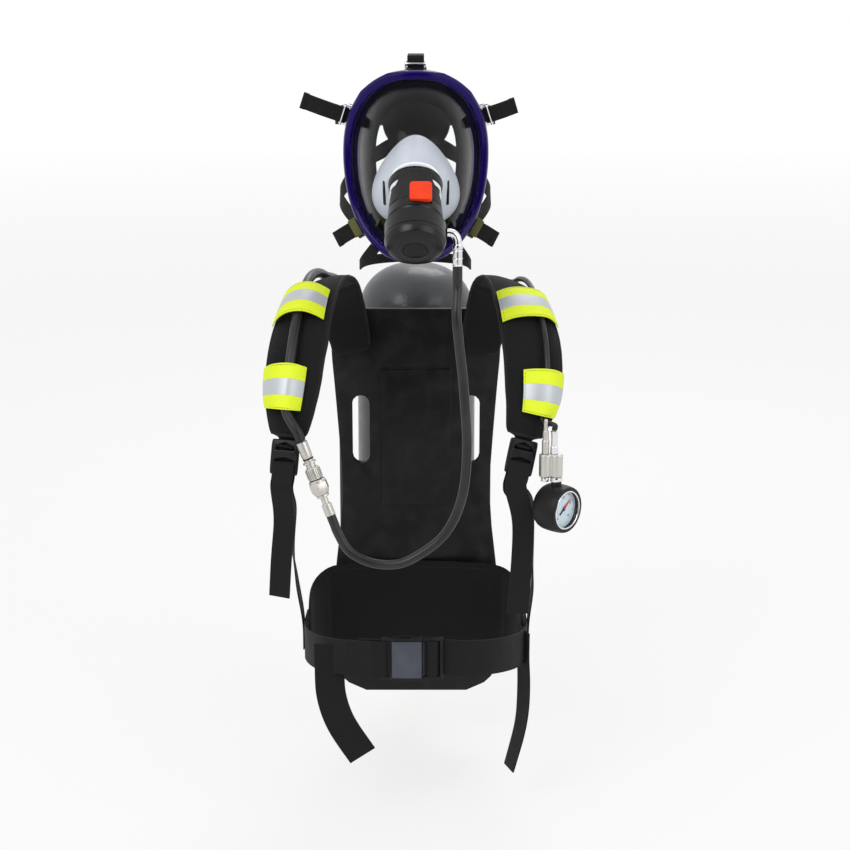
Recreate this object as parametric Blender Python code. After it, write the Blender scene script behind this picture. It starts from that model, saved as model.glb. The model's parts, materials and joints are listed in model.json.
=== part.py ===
"""Breathing air pack: full-face mask, demand valve, padded harness, gauge and back-carried cylinder.

Metres, +Z up. The wearer faces -Y and the origin is on the flat panel that rests on the wearer's back.
"Right" and "left" are the wearer's own sides: right is -X and left is +X.
"""
import math

import bmesh
import bpy
from mathutils import Matrix, Vector

# Shared fits
GAP = 0.0003
WEB = 0.0018
TURN_STEPS = 18

# Mask
MASK_CENTRE = Vector((0.001, -0.175, 0.362))
RIM_WIDTH = 0.172
RIM_HEIGHT = 0.211
RIM_BAND = 0.011
RIM_DEPTH = 0.016
RIM_SWEEP = 0.045
RIM_TAPER = 0.075
RIM_SQUARENESS = 2.25
RIM_STEPS = 30
VISOR_WALL = 0.003
VISOR_FULLNESS = 0.72
SEAL_WALL = 0.003
SEAL_DEPTH = 0.044
SEAL_LIP = 0.034
PORT_CENTRE = Vector((0.001, -0.222, 0.3455))
PORT_TILT = math.radians(45)
PORT_RADIUS = 0.0265
PORT_BORE = 0.0215
PORT_LENGTH = 0.011
PORT_TAIL = 0.014
NOSE_CENTRE = Vector((0.001, -0.150, 0.345))
NOSE_HALF_WIDTH = 0.050
NOSE_HALF_HEIGHT = 0.055
NOSE_TAPER = 0.35
NOSE_WALL = 0.002

# Head straps, their buckles on the seal and the nape pad
STRAP_WIDTH = 0.019
BUCKLE_LENGTH = 0.026
BUCKLE_HEIGHT = 0.013
BUCKLE_THICK = 0.003
BUCKLE_SLOT = 0.006
LUG_BACK = 0.026
NECK_LUG_ANGLE = 34
NECK_WIDTH = 0.012
HEAD_CAP_CENTRE = Vector((0.001, 0.012, 0.405))
HEAD_CAP_SIZE = 0.090
HEAD_CAP_THICK = 0.003

# Demand valve, measured from the port along its axis
VALVE_NECK = 0.0275
VALVE_SHOULDER = 0.0312
VALVE_DRUM = 0.0345
VALVE_WAIST = 0.047
VALVE_OPEN_END = 0.070
VALVE_CAVITY = 0.0285
VALVE_FLOOR = 0.054
DIAPHRAGM_THICK = 0.0017
COVER_LENGTH = 0.0152
HOOD_RADIUS = 0.0312
HOOD_WALL = 0.0024
HOOD_STEPS = 12
PURGE_RADIUS = 0.0137
PURGE_TRAVEL = 0.004
SHUTOFF_SIZE = 0.0245
SHUTOFF_AT = 0.0290
SHUTOFF_ASIDE = 0.006
SHUTOFF_PROUD = 0.0040
SHUTOFF_POCKET = 0.0075
SHUTOFF_TRAVEL = 0.003
ELBOW_AT = 0.061
ELBOW_RADIUS = 0.0050
ELBOW_REACH = 0.0115
ELBOW_DROP = 0.037
FERRULE_RADIUS = 0.0053
FERRULE_LENGTH = 0.0245

# Hoses
DEMAND_HOSE_RADIUS = 0.0055
SUPPLY_HOSE_RADIUS = 0.0065
GAUGE_HOSE_RADIUS = 0.0036

# Quick coupling, measured from the top of its crimp along its axis
COUPLING_TOP = Vector((-0.128, -0.260, 0.0640))
COUPLING_END = Vector((-0.0957, -0.268, -0.0195))
CRIMP_RADIUS = 0.0066
CRIMP_LENGTH = 0.020
SPINDLE_RADIUS = 0.0056
COLLAR_RADIUS = 0.0078
COLLAR_AT = 0.0255
SLEEVE_RADIUS = 0.0080
SLEEVE_LENGTH = 0.0150
HEAD_AT = 0.0460
HEAD_RADIUS = 0.0100
HEAD_LENGTH = 0.0180
PLUG_RADIUS = 0.0042
PLUG_DEPTH = 0.0280
PLUG_RING = 0.0076

# Shoulder pads: the left pad's centre line, from the back plate over the shoulder and down the chest
PAD_ROUTE = [
    Vector((0.080, -0.0058, 0.112)),
    Vector((0.090, -0.0085, 0.158)),
    Vector((0.104, -0.0420, 0.200)),
    Vector((0.117, -0.0950, 0.213)),
    Vector((0.127, -0.1500, 0.198)),
    Vector((0.135, -0.1980, 0.162)),
    Vector((0.141, -0.2280, 0.112)),
    Vector((0.145, -0.2400, 0.066)),
]
PAD_ACROSS = [
    Vector((-1.0, 0.0, 0.0)),
    Vector((-1.0, 0.0, 0.10)),
    Vector((-1.0, 0.0, 0.30)),
    Vector((-1.0, 0.0, 0.40)),
    Vector((-1.0, -0.15, 0.30)),
    Vector((-1.0, -0.25, 0.10)),
    Vector((-1.0, -0.25, 0.0)),
    Vector((-1.0, -0.20, 0.0)),
]
PAD_END_SHIFT = {-1: 0.0, 1: -0.020}
PAD_HALF_WIDTHS = [0.024, 0.030, 0.036, 0.037, 0.037, 0.037, 0.034, 0.022]
PAD_CROWN = 0.009
PAD_BACK = 0.004
PAD_RINGS = 20
TONGUE_HALF_WIDTH = 0.012
TONGUE_HALF_THICK = 0.0011
TAPE_LENGTH = 0.047
TAPE_THICK = 0.0014
TAPE_CLEAR = 0.0008
TAPE_OUTER_SHARE = 0.97
TAPE_ROWS = 5
TAPE_COLUMNS = 12
SUPPLY_ACROSS = 0.0
GAUGE_ACROSS = -0.012

# Strap adjusters and pull straps
ADJUSTER_WIDTH = 0.033
ADJUSTER_THICK = 0.005
ADJUSTER_TOP_BAR = 0.0028
ADJUSTER_TOP_SLOT = 0.0097
ADJUSTER_MID_BAR = 0.0090
ADJUSTER_LOW_SLOT = 0.0090
ADJUSTER_LOW_BAR = 0.0100
ADJUSTER_SLOT_WIDTH = 0.0265
ADJUSTER_LEAD = 0.0040
PULL_WIDTH = 0.025

# Waist belt and buckle
BELT_WIDTH = 0.044
BUCKLE_CENTRE = Vector((-0.004, -0.224, -0.212))
BUCKLE_TALL = 0.053
SOCKET_LEFT = -0.036
SOCKET_RIGHT = 0.0125
SOCKET_THICK = 0.012
SOCKET_BAR = 0.0036
SOCKET_SLOT = 0.0055
SOCKET_BAR_THICK = 0.005
TONGUE_THICK = 0.005
TONGUE_REACH = 0.027
TONGUE_BASE = 0.0245
TONGUE_ARM = 0.0085
TONGUE_SLOT = 0.0065
TONGUE_BAR = 0.0060
LUMBAR_TALL = 0.120
LUMBAR_THICK = 0.006

# Gauge group
MANIFOLD_CENTRE = Vector((0.1545, -0.258, 0.0365))
BARREL_RADIUS = 0.0074
BARREL_SPACING = 0.0130
MANIFOLD_TALL = 0.0270
WHISTLE_LENGTH = 0.0400
WHISTLE_RADIUS = 0.0043
GAUGE_YAW = math.radians(48)
GAUGE_RADIUS = 0.0279
GAUGE_DEPTH = 0.034
GAUGE_DROP = 0.0500
DIAL_RADIUS = 0.0222
DIAL_RECESS = 0.0085
DIAL_THICK = 0.0012
LENS_THICK = 0.0025
NEEDLE_LENGTH = 0.0165
NEEDLE_TURN = math.radians(52)

# Back plate and cylinder
PLATE_FRONT = 0.004
PLATE_THICK = 0.012
PLATE_TOP = 0.168
PLATE_BOTTOM = -0.352
PLATE_SHOULDER = 0.108
PLATE_WAIST = 0.096
PLATE_HIP = 0.112
PANEL_WIDTH = 0.090
PANEL_TALL = 0.180
CYLINDER_RADIUS = 0.079
CYLINDER_Y = 0.100
CYLINDER_TOP = 0.213
CYLINDER_SHOULDER = -0.232
CYLINDER_NECK = -0.300
NECK_RADIUS = 0.018
VALVE_BODY_RADIUS = 0.0165
VALVE_BODY_TALL = 0.060
OUTLET_DROP = 0.026
OUTLET_Z = CYLINDER_NECK - OUTLET_DROP
OUTLET_RADIUS = 0.0115
OUTLET_REACH = 0.026
HANDWHEEL_RADIUS = 0.026
HANDWHEEL_THICK = 0.022
HANDWHEEL_AT = 0.040
REDUCER_RADIUS = 0.022
REDUCER_LENGTH = 0.026
NUT_RADIUS = 0.0185
BAND_Z = 0.085
BAND_TALL = 0.040
BAND_THICK = 0.002
LEVER_LENGTH = 0.060
LEVER_THICK = 0.005

FINISHES = {
    "rim_blue": ((0.035, 0.022, 0.20), 0.25, 0.0),
    "clear": ((0.85, 0.88, 0.90), 0.08, 0.0),
    "rubber": ((0.012, 0.012, 0.013), 0.65, 0.0),
    "nose_grey": ((0.62, 0.64, 0.68), 0.45, 0.0),
    "moulded_black": ((0.015, 0.015, 0.016), 0.42, 0.0),
    "button_red": ((0.72, 0.07, 0.03), 0.40, 0.0),
    "chrome": ((0.72, 0.72, 0.73), 0.15, 1.0),
    "nickel": ((0.62, 0.59, 0.54), 0.25, 1.0),
    "webbing": ((0.012, 0.012, 0.013), 0.80, 0.0),
    "pad_cloth": ((0.018, 0.018, 0.020), 0.90, 0.0),
    "tape_yellow": ((0.78, 0.85, 0.08), 0.45, 0.0),
    "dial_white": ((0.82, 0.86, 0.90), 0.50, 0.0),
    "needle_red": ((0.75, 0.05, 0.03), 0.50, 0.0),
    "buckle_grey": ((0.06, 0.065, 0.075), 0.40, 0.0),
    "carbon": ((0.020, 0.020, 0.022), 0.30, 0.0),
    "brass": ((0.70, 0.52, 0.22), 0.30, 1.0),
}
RIGHT = -1
LEFT = 1


def finish_material(name):
    """Return the Principled material of a named finish, made on first use."""
    found = bpy.data.materials.get(name)
    if found:
        return found
    colour, roughness, metallic = FINISHES[name]
    made = bpy.data.materials.new(name)
    made.use_nodes = True
    shader = made.node_tree.nodes["Principled BSDF"]
    shader.inputs["Base Color"].default_value = (*colour, 1.0)
    shader.inputs["Roughness"].default_value = roughness
    shader.inputs["Metallic"].default_value = metallic
    return made


def add_part(name, finish, bm, frame=None):
    """Turn a bmesh into a named object with its finish, placed by a frame matrix."""
    bmesh.ops.recalc_face_normals(bm, faces=bm.faces[:])
    if bm.calc_volume(signed=True) < 0.0:
        bmesh.ops.reverse_faces(bm, faces=bm.faces[:])
    mesh = bpy.data.meshes.new(name)
    bm.to_mesh(mesh)
    bm.free()
    mesh.materials.append(finish_material(finish))
    mesh.shade_smooth()
    mesh.set_sharp_from_angle(angle=math.radians(35))
    part = bpy.data.objects.new(name, mesh)
    bpy.context.scene.collection.objects.link(part)
    if frame is not None:
        part.matrix_world = frame
    return part


def as_tool(part):
    """Mark an object as a construction tool that is left out of the model."""
    part.hide_render = True
    part.display_type = "WIRE"
    return part


def combine(part, tool, operation):
    """Cut a tool from a part, or join it on, with an exact Boolean."""
    modifier = part.modifiers.new(operation.title(), "BOOLEAN")
    modifier.operation = operation
    modifier.solver = "EXACT"
    modifier.object = as_tool(tool)


def soften(part, width, segments=2):
    """Round a part's edges with a Bevel modifier."""
    modifier = part.modifiers.new("Bevel", "BEVEL")
    modifier.width = width
    modifier.segments = segments
    modifier.limit_method = "ANGLE"
    modifier.angle_limit = math.radians(40)


def axes_frame(place, y_axis, z_axis):
    """Frame at a point with given Y and Z directions."""
    y_axis = y_axis.normalized()
    z_axis = z_axis.normalized()
    rows = Matrix((y_axis.cross(z_axis), y_axis, z_axis)).transposed()
    return Matrix.Translation(place) @ rows.to_4x4()


def axis_frame(place, z_axis):
    """Frame at a point whose Z runs along an axis."""
    return Matrix.Translation(place) @ z_axis.to_track_quat("Z", "Y").to_matrix().to_4x4()


def turned(name, finish, profile, frame, ring=False, steps=TURN_STEPS):
    """Spin a profile of (radius, height) points about Z; a ring's profile closes on itself."""
    bm = bmesh.new()
    points = [bm.verts.new((radius, 0.0, height)) for radius, height in profile]
    edges = [bm.edges.new(pair) for pair in zip(points, points[1:])]
    if ring:
        edges.append(bm.edges.new((points[-1], points[0])))
    bmesh.ops.spin(bm, geom=points + edges, cent=(0, 0, 0), axis=(0, 0, 1), angle=math.tau, steps=steps,
                   use_merge=True)
    bmesh.ops.remove_doubles(bm, verts=bm.verts[:], dist=1e-6)
    return add_part(name, finish, bm, frame)


def loft(name, finish, rings, joined=False, frame=None):
    """Skin a row of closed rings of equal count, capped at both ends or joined end to start."""
    bm = bmesh.new()
    loops = [[bm.verts.new(point) for point in ring] for ring in rings]
    pairs = list(zip(loops, loops[1:]))
    if joined:
        pairs.append((loops[-1], loops[0]))
    else:
        bm.faces.new(loops[0])
        bm.faces.new(loops[-1])
    for near, far in pairs:
        for index in range(len(near)):
            bm.faces.new((near[index - 1], near[index], far[index], far[index - 1]))
    return add_part(name, finish, bm, frame)


def extruded(name, finish, outline, depth, frame):
    """Extrude a flat XY outline along Z by a depth."""
    bm = bmesh.new()
    face = bm.faces.new([bm.verts.new((x, y, 0.0)) for x, y in outline])
    grown = bmesh.ops.extrude_face_region(bm, geom=[face])
    corners = [item for item in grown["geom"] if isinstance(item, bmesh.types.BMVert)]
    bmesh.ops.translate(bm, verts=corners, vec=(0.0, 0.0, depth))
    return add_part(name, finish, bm, frame)


def block(name, finish, low, high, frame=None):
    """Box between two corners."""
    outline = [(low[0], low[1]), (high[0], low[1]), (high[0], high[1]), (low[0], high[1])]
    shift = Matrix.Translation((0.0, 0.0, low[2]))
    return extruded(name, finish, outline, high[2] - low[2], (frame or Matrix()) @ shift)


def curve_at(points, place):
    """Point on a Catmull-Rom curve; whole numbers are the given points."""
    index = max(0, min(int(place), len(points) - 2))
    part = place - index
    start, end = points[index], points[index + 1]
    before = points[index - 1] if index else start * 2 - end
    after = points[index + 2] if index + 2 < len(points) else end * 2 - start
    square = part * part
    return (start * 2 + (end - before) * part + (before * 2 - start * 5 + end * 4 - after) * square
            + (start * 3 - before - end * 3 + after) * square * part) * 0.5


def smooth_route(points, per_span):
    """Points along a smooth curve through the route's own points."""
    count = (len(points) - 1) * per_span
    return [curve_at(points, step / per_span) for step in range(count + 1)]


def ribbon(name, finish, stations, width, thick=WEB):
    """Flat webbing along (point, across) stations."""
    rings = []
    for index, (point, across) in enumerate(stations):
        before = stations[max(index - 1, 0)][0]
        after = stations[min(index + 1, len(stations) - 1)][0]
        along = (after - before).normalized()
        side = (across - along * across.dot(along)).normalized() * (width / 2)
        face = along.cross(side).normalized() * (thick / 2)
        rings.append([point + side + face, point - side + face, point - side - face, point + side - face])
    return loft(name, finish, rings)


def smooth_stations(pairs, per_span):
    """Smooth both the points and the across directions of a strap."""
    points = smooth_route([point for point, _ in pairs], per_span)
    sides = smooth_route([across for _, across in pairs], per_span)
    return list(zip(points, sides))


def hose(name, route, radius, per_span=3):
    """Hose as a bevelled curve with filled ends, along a smooth curve through its route."""
    points = smooth_route(route, per_span)
    curve = bpy.data.curves.new(name, "CURVE")
    curve.dimensions = "3D"
    curve.bevel_depth = radius
    curve.bevel_resolution = 2
    curve.use_fill_caps = True
    curve.resolution_u = 1
    curve.render_resolution_u = 0
    spline = curve.splines.new("POLY")
    spline.points.add(len(points) - 1)
    for item, point in zip(spline.points, points):
        item.co = (*point, 1.0)
    curve.materials.append(finish_material("rubber"))
    part = bpy.data.objects.new(name, curve)
    bpy.context.scene.collection.objects.link(part)
    return part


def mirrored(vector, side):
    """Vector of the left side carried to the chosen side."""
    return Vector((vector.x * side, vector.y, vector.z))


def signed_power(value, power):
    """Power that keeps the sign, for a squared-off oval."""
    return math.copysign(abs(value) ** power, value)


def rim_point(angle, grow=0.0, back=0.0):
    """Point on the mask's outline, grown outward in its plane and set back along +Y."""
    half_width = RIM_WIDTH / 2 + grow
    half_height = RIM_HEIGHT / 2 + grow
    power = 2.0 / RIM_SQUARENESS
    level = signed_power(math.sin(angle), power)
    aside = signed_power(math.cos(angle), power) * (1.0 + RIM_TAPER * (level - 1.0))
    sweep = RIM_SWEEP * aside * aside
    return MASK_CENTRE + Vector((half_width * aside, sweep + back, half_height * level))


def rim_angles():
    """Angles around the mask's outline."""
    return [math.tau * step / RIM_STEPS for step in range(RIM_STEPS)]


def rim_loft(name, finish, section):
    """Sweep a (grow, back) section around the mask's outline."""
    rings = [[rim_point(angle, grow, back) for angle in rim_angles()] for grow, back in section]
    return loft(name, finish, rings, joined=True)


PORT_AXIS = Vector((0.0, -math.cos(PORT_TILT), -math.sin(PORT_TILT)))
PORT_UP = Vector((0.0, -math.sin(PORT_TILT), math.cos(PORT_TILT)))
PORT_FRAME = axes_frame(PORT_CENTRE, PORT_UP, PORT_AXIS)


def port_point(angle, radius, height):
    """Point on a circle about the port's axis."""
    aside = Vector((radius * math.cos(angle), 0.0, 0.0))
    return PORT_CENTRE + aside + PORT_UP * (radius * math.sin(angle)) + PORT_AXIS * height


def bowed(start, end, fullness, forward, share):
    """Point on a bowed line whose middle is pushed toward the front of its start."""
    middle = start.lerp(end, fullness)
    middle.y = start.y * forward + end.y * (1.0 - forward)
    return start * (1 - share) ** 2 + middle * (2 * share * (1 - share)) + end * share ** 2


def shell(name, finish, outer, centre, wall):
    """Thin wall from rings that start at the port, thickened along its axis there and to a centre beyond."""
    inner = []
    for index, ring in enumerate(outer):
        share = index / (len(outer) - 1)
        turned_in = [(PORT_AXIS * -1.0).lerp((centre - point).normalized(), share) for point in ring]
        inner.append([point + way.normalized() * wall for point, way in zip(ring, turned_in)])
    return loft(name, finish, outer + inner[::-1], joined=True)


def build_mask():
    """Rim, visor, rubber face seal, nose cup, port housing and its inhale disc."""
    half = RIM_BAND / 2
    rim_loft("mask_rim", "rim_blue", [
        (-half, 0.003), (-half + 0.003, 0.0), (half - 0.003, 0.0), (half, 0.004), (half, RIM_DEPTH),
        (-half, RIM_DEPTH)])
    shares = [step / 5 for step in range(6)]
    visor_rings = []
    for share in shares:
        visor_rings.append([
            bowed(port_point(angle, PORT_RADIUS, 0.0), rim_point(angle, -half - GAP, RIM_DEPTH * 0.4),
                  VISOR_FULLNESS, 0.85, share)
            for angle in rim_angles()])
    shell("visor", "clear", visor_rings, MASK_CENTRE + Vector((0.0, 0.06, 0.0)), VISOR_WALL)
    start = RIM_DEPTH + GAP
    deep = start + SEAL_DEPTH
    wall = SEAL_WALL
    rim_loft("face_seal", "rubber", [
        (-0.001, start), (0.0, start + 0.019), (-0.006, deep - 0.008), (-0.020, deep),
        (-SEAL_LIP, deep - 0.004), (-SEAL_LIP, deep - 0.004 - wall), (-0.020, deep - wall),
        (-0.006 - wall, deep - 0.009 - wall),
        (-wall, start + 0.018), (-0.001 - wall, start)])
    nose_rings = []
    for share in (0.0, 0.35, 0.7, 1.0):
        nose_rings.append([
            bowed(port_point(angle, PORT_RADIUS + GAP, -PORT_TAIL - GAP), nose_point(angle), 0.6, 0.65, share)
            for angle in rim_angles()])
    shell("nose_cup", "nose_grey", nose_rings, NOSE_CENTRE + Vector((0.0, 0.02, 0.0)), NOSE_WALL)
    tube = PORT_RADIUS - GAP
    step = -PORT_TAIL + 0.006
    turned("port_housing", "moulded_black", [
        (tube, -PORT_TAIL), (tube, 0.002), (tube + 0.004, 0.0055), (tube + 0.004, PORT_LENGTH),
        (PORT_BORE, PORT_LENGTH), (PORT_BORE, step), (PORT_BORE - 0.004, step),
        (PORT_BORE - 0.004, -PORT_TAIL)], PORT_FRAME, ring=True)
    turned("inhale_disc", "rubber", [
        (0.0, step + GAP), (PORT_BORE - 0.001, step + GAP), (PORT_BORE - 0.001, step + 0.0013),
        (0.0, step + 0.0016)], PORT_FRAME)


def nose_point(angle):
    """Point on the nose cup's bell-shaped edge."""
    level = math.sin(angle)
    aside = math.cos(angle) * (1.0 - NOSE_TAPER * level)
    sweep = 0.012 * aside * aside
    return NOSE_CENTRE + Vector((NOSE_HALF_WIDTH * aside, sweep, NOSE_HALF_HEIGHT * level))


def build_demand_valve():
    """Valve body with its cavity, diaphragm, screwed cover, purge button, shut-off button and elbow."""
    face = PORT_LENGTH + GAP
    body = turned("demand_valve_body", "moulded_black", [
        (0.0, -PORT_TAIL + 0.0085), (PORT_BORE - GAP, -PORT_TAIL + 0.0085), (PORT_BORE - GAP, face),
        (VALVE_NECK - 0.002, face), (VALVE_NECK, face + 0.003), (VALVE_SHOULDER - 0.001, face + 0.018),
        (VALVE_SHOULDER, VALVE_WAIST - 0.002), (VALVE_SHOULDER - 0.0015, VALVE_WAIST),
        (VALVE_SHOULDER - 0.0015, VALVE_WAIST + 0.002), (VALVE_DRUM, VALVE_WAIST + 0.006),
        (VALVE_DRUM, VALVE_OPEN_END), (VALVE_CAVITY, VALVE_OPEN_END), (VALVE_CAVITY, VALVE_FLOOR),
        (0.0, VALVE_FLOOR)], PORT_FRAME)
    combine(body, valve_hood(face), "UNION")
    half = SHUTOFF_SIZE / 2
    floor = VALVE_SHOULDER - SHUTOFF_POCKET
    pocket = block("shutoff_pocket", "moulded_black",
                   (SHUTOFF_ASIDE - half - GAP, floor, SHUTOFF_AT - half - GAP),
                   (SHUTOFF_ASIDE + half + GAP, VALVE_DRUM + 0.02, SHUTOFF_AT + half + GAP), PORT_FRAME)
    combine(body, pocket, "DIFFERENCE")
    shutoff_frame = PORT_FRAME @ Matrix.Translation((SHUTOFF_ASIDE, VALVE_SHOULDER, SHUTOFF_AT))
    button = block("shutoff_button", "button_red",
                   (-half, -SHUTOFF_POCKET + SHUTOFF_TRAVEL + 2 * GAP, -half),
                   (half, SHUTOFF_PROUD - 0.001, half), shutoff_frame)
    soften(button, 0.0015)
    seat = VALVE_FLOOR + GAP
    top = seat + DIAPHRAGM_THICK
    turned("diaphragm", "rubber", [
        (0.0, seat), (VALVE_CAVITY - GAP, seat), (VALVE_CAVITY - GAP, top), (0.012, top),
        (0.010, top + 0.001), (0.0, top + 0.001)], PORT_FRAME)
    skirt = VALVE_CAVITY - GAP
    lip = VALVE_OPEN_END + GAP
    end = lip + COVER_LENGTH
    bore = PURGE_RADIUS + GAP
    turned("demand_valve_cover", "moulded_black", [
        (VALVE_DRUM, lip), (VALVE_DRUM, lip + 0.0045), (VALVE_DRUM - 0.003, end - 0.004),
        (VALVE_DRUM - 0.0095, end - 0.0008), (bore, end), (bore, end - 0.003), (skirt - 0.006, end - 0.004),
        (skirt - 0.003, end - 0.009), (skirt - 0.003, top + GAP), (skirt, top + GAP), (skirt, lip)],
        PORT_FRAME, ring=True)
    turned("purge_button", "rubber", [
        (0.0, end + 0.0012), (PURGE_RADIUS - 0.004, end + 0.0010), (PURGE_RADIUS, end - 0.0006),
        (PURGE_RADIUS, end - 0.0042), (PURGE_RADIUS + 0.004, end - 0.0042),
        (PURGE_RADIUS + 0.004, end - 0.0056), (0.004, end - 0.0056), (0.004, top + 0.001 + PURGE_TRAVEL + GAP),
        (0.0, top + 0.001 + PURGE_TRAVEL + GAP)], PORT_FRAME)
    start = PORT_CENTRE + PORT_AXIS * ELBOW_AT + Vector((VALVE_DRUM + GAP, 0.0, 0.0))
    bend = start + Vector((ELBOW_REACH, 0.0, 0.0))
    drop = bend - Vector((0.0, 0.0, ELBOW_DROP - FERRULE_LENGTH))
    lead = start + Vector((0.0015, 0.0, 0.0))
    down = Vector((0.0, 0.0, -1.0))
    centres = [start] + [bowed_corner(lead, bend, drop, step / 5) for step in range(5)] + [drop]
    centres += [drop + down * 0.001, drop + down * 0.005, drop + down * 0.006, bend + down * ELBOW_DROP]
    wide = ELBOW_RADIUS + 0.0012
    radii = [ELBOW_RADIUS] * 7 + [wide, wide, FERRULE_RADIUS, FERRULE_RADIUS]
    swept("valve_elbow", "chrome", centres, radii)
    return bend + down * (ELBOW_DROP + 2 * GAP)


def valve_hood(face):
    """Arched hood that grows out of the body's upper side and covers the top of the port's flange."""
    neck = VALVE_NECK - 0.003
    rings = []
    for height, degrees, low, high in (
            (-0.0025, 18, HOOD_RADIUS, HOOD_RADIUS + HOOD_WALL - 0.001),
            (-0.0012, 25, HOOD_RADIUS, HOOD_RADIUS + HOOD_WALL),
            (0.0020, 30, HOOD_RADIUS, HOOD_RADIUS + HOOD_WALL),
            (face + 0.0002, 36, HOOD_RADIUS, HOOD_RADIUS + HOOD_WALL - 0.0006),
            (face + 0.0014, 38, neck, HOOD_RADIUS + HOOD_WALL - 0.0007),
            (face + 0.0100, 58, neck, VALVE_SHOULDER + 0.0006),
            (face + 0.0220, 72, neck, VALVE_SHOULDER - 0.0006)):
        turns = [math.radians(degrees) * (2.0 * step / HOOD_STEPS - 1.0) for step in range(HOOD_STEPS + 1)]
        outer = [Vector((high * math.sin(turn), high * math.cos(turn), height)) for turn in turns]
        inner = [Vector((low * math.sin(turn), low * math.cos(turn), height)) for turn in reversed(turns)]
        rings.append(outer + inner)
    return loft("valve_hood", "moulded_black", rings, frame=PORT_FRAME)


def bowed_corner(start, corner, end, share):
    """Point on a rounded corner between two legs."""
    return start * (1 - share) ** 2 + corner * (2 * share * (1 - share)) + end * share ** 2


def swept(name, finish, centres, radii, steps=14):
    """Round bar along centres with a radius at each."""
    rings = []
    for index, (centre, radius) in enumerate(zip(centres, radii)):
        along = centres[min(index + 1, len(centres) - 1)] - centres[max(index - 1, 0)]
        across = along.normalized().cross(Vector((0.0, 1.0, 0.0))).normalized()
        rise = along.normalized().cross(across)
        turns = [math.tau * step / steps for step in range(steps)]
        rings.append([centre + (across * math.cos(turn) + rise * math.sin(turn)) * radius for turn in turns])
    return loft(name, finish, rings)


def build_head_harness():
    """Five wire buckles, the elastic straps with their loose tails, the nape pad and the neck strap."""
    turned("head_cap", "rubber", [
        (0.0, 0.0), (HEAD_CAP_SIZE / 2, 0.0), (HEAD_CAP_SIZE / 2, HEAD_CAP_THICK), (0.0, HEAD_CAP_THICK)],
        axis_frame(HEAD_CAP_CENTRE, Vector((0.0, 1.0, 0.0))))
    reach = HEAD_CAP_SIZE / 2 - 0.012
    face = HEAD_CAP_CENTRE.y - WEB / 2 - 2 * GAP
    top_way = [Vector((0.001, -0.122, 0.483)), Vector((0.001, -0.075, 0.486)), Vector((0.001, -0.025, 0.476)),
               Vector((0.001, face - 0.003, 0.456)), Vector((0.001, face, 0.442)),
               Vector((0.001, face, HEAD_CAP_CENTRE.z + reach - 0.012))]
    head_strap("top", 90, 0.006, top_way)
    for label, side, tail in (("right", RIGHT, 0.047), ("left", LEFT, 0.030)):
        temple_way = [Vector((0.094, -0.085, 0.415)), Vector((0.088, -0.035, 0.411)),
                      Vector((0.066, -0.004, 0.408)),
                      Vector((0.050, face - 0.002, 0.407)), Vector((0.036, face, 0.407)),
                      Vector((0.018, face, 0.406))]
        head_strap("temple_" + label, 90 - side * 62, tail, [mirrored(point, side) for point in temple_way])
        cheek_way = [Vector((0.089, -0.080, 0.315)), Vector((0.084, -0.035, 0.330)),
                     Vector((0.062, -0.006, 0.355)),
                     Vector((0.045, face - 0.002, 0.364)), Vector((0.032, face, 0.371)),
                     Vector((0.020, face, 0.376))]
        head_strap("cheek_" + label, -90 + side * 52, 0.024, [mirrored(point, side) for point in cheek_way])
    upright = Vector((0.0, 0.0, 1.0))
    sides = []
    for side in (RIGHT, LEFT):
        angle = math.radians(-90 + side * NECK_LUG_ANGLE)
        tail = [(0.0260, -0.0045), (0.0140, -0.0055), (0.0060, -0.0055)]
        turn = [(0.0022, -0.0035), (0.0012, 0.0005), (0.0022, 0.0050), (0.0080, 0.0130)]
        ends = [rim_point(angle, grow, LUG_BACK + back) for grow, back in tail + turn]
        along = (rim_point(angle + side * 0.05) - rim_point(angle - side * 0.05)).normalized()
        way = [Vector((0.066, -0.095, 0.240)), Vector((0.062, -0.045, 0.236)), Vector((0.042, -0.008, 0.234))]
        sides.append([(end, along) for end in ends] + [(mirrored(point, side), upright) for point in way])
    nape = [(Vector((0.0, 0.006, 0.234)), upright)]
    ribbon("neck_strap", "webbing", smooth_stations(sides[0] + nape + sides[1][::-1], 3), NECK_WIDTH)


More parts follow.
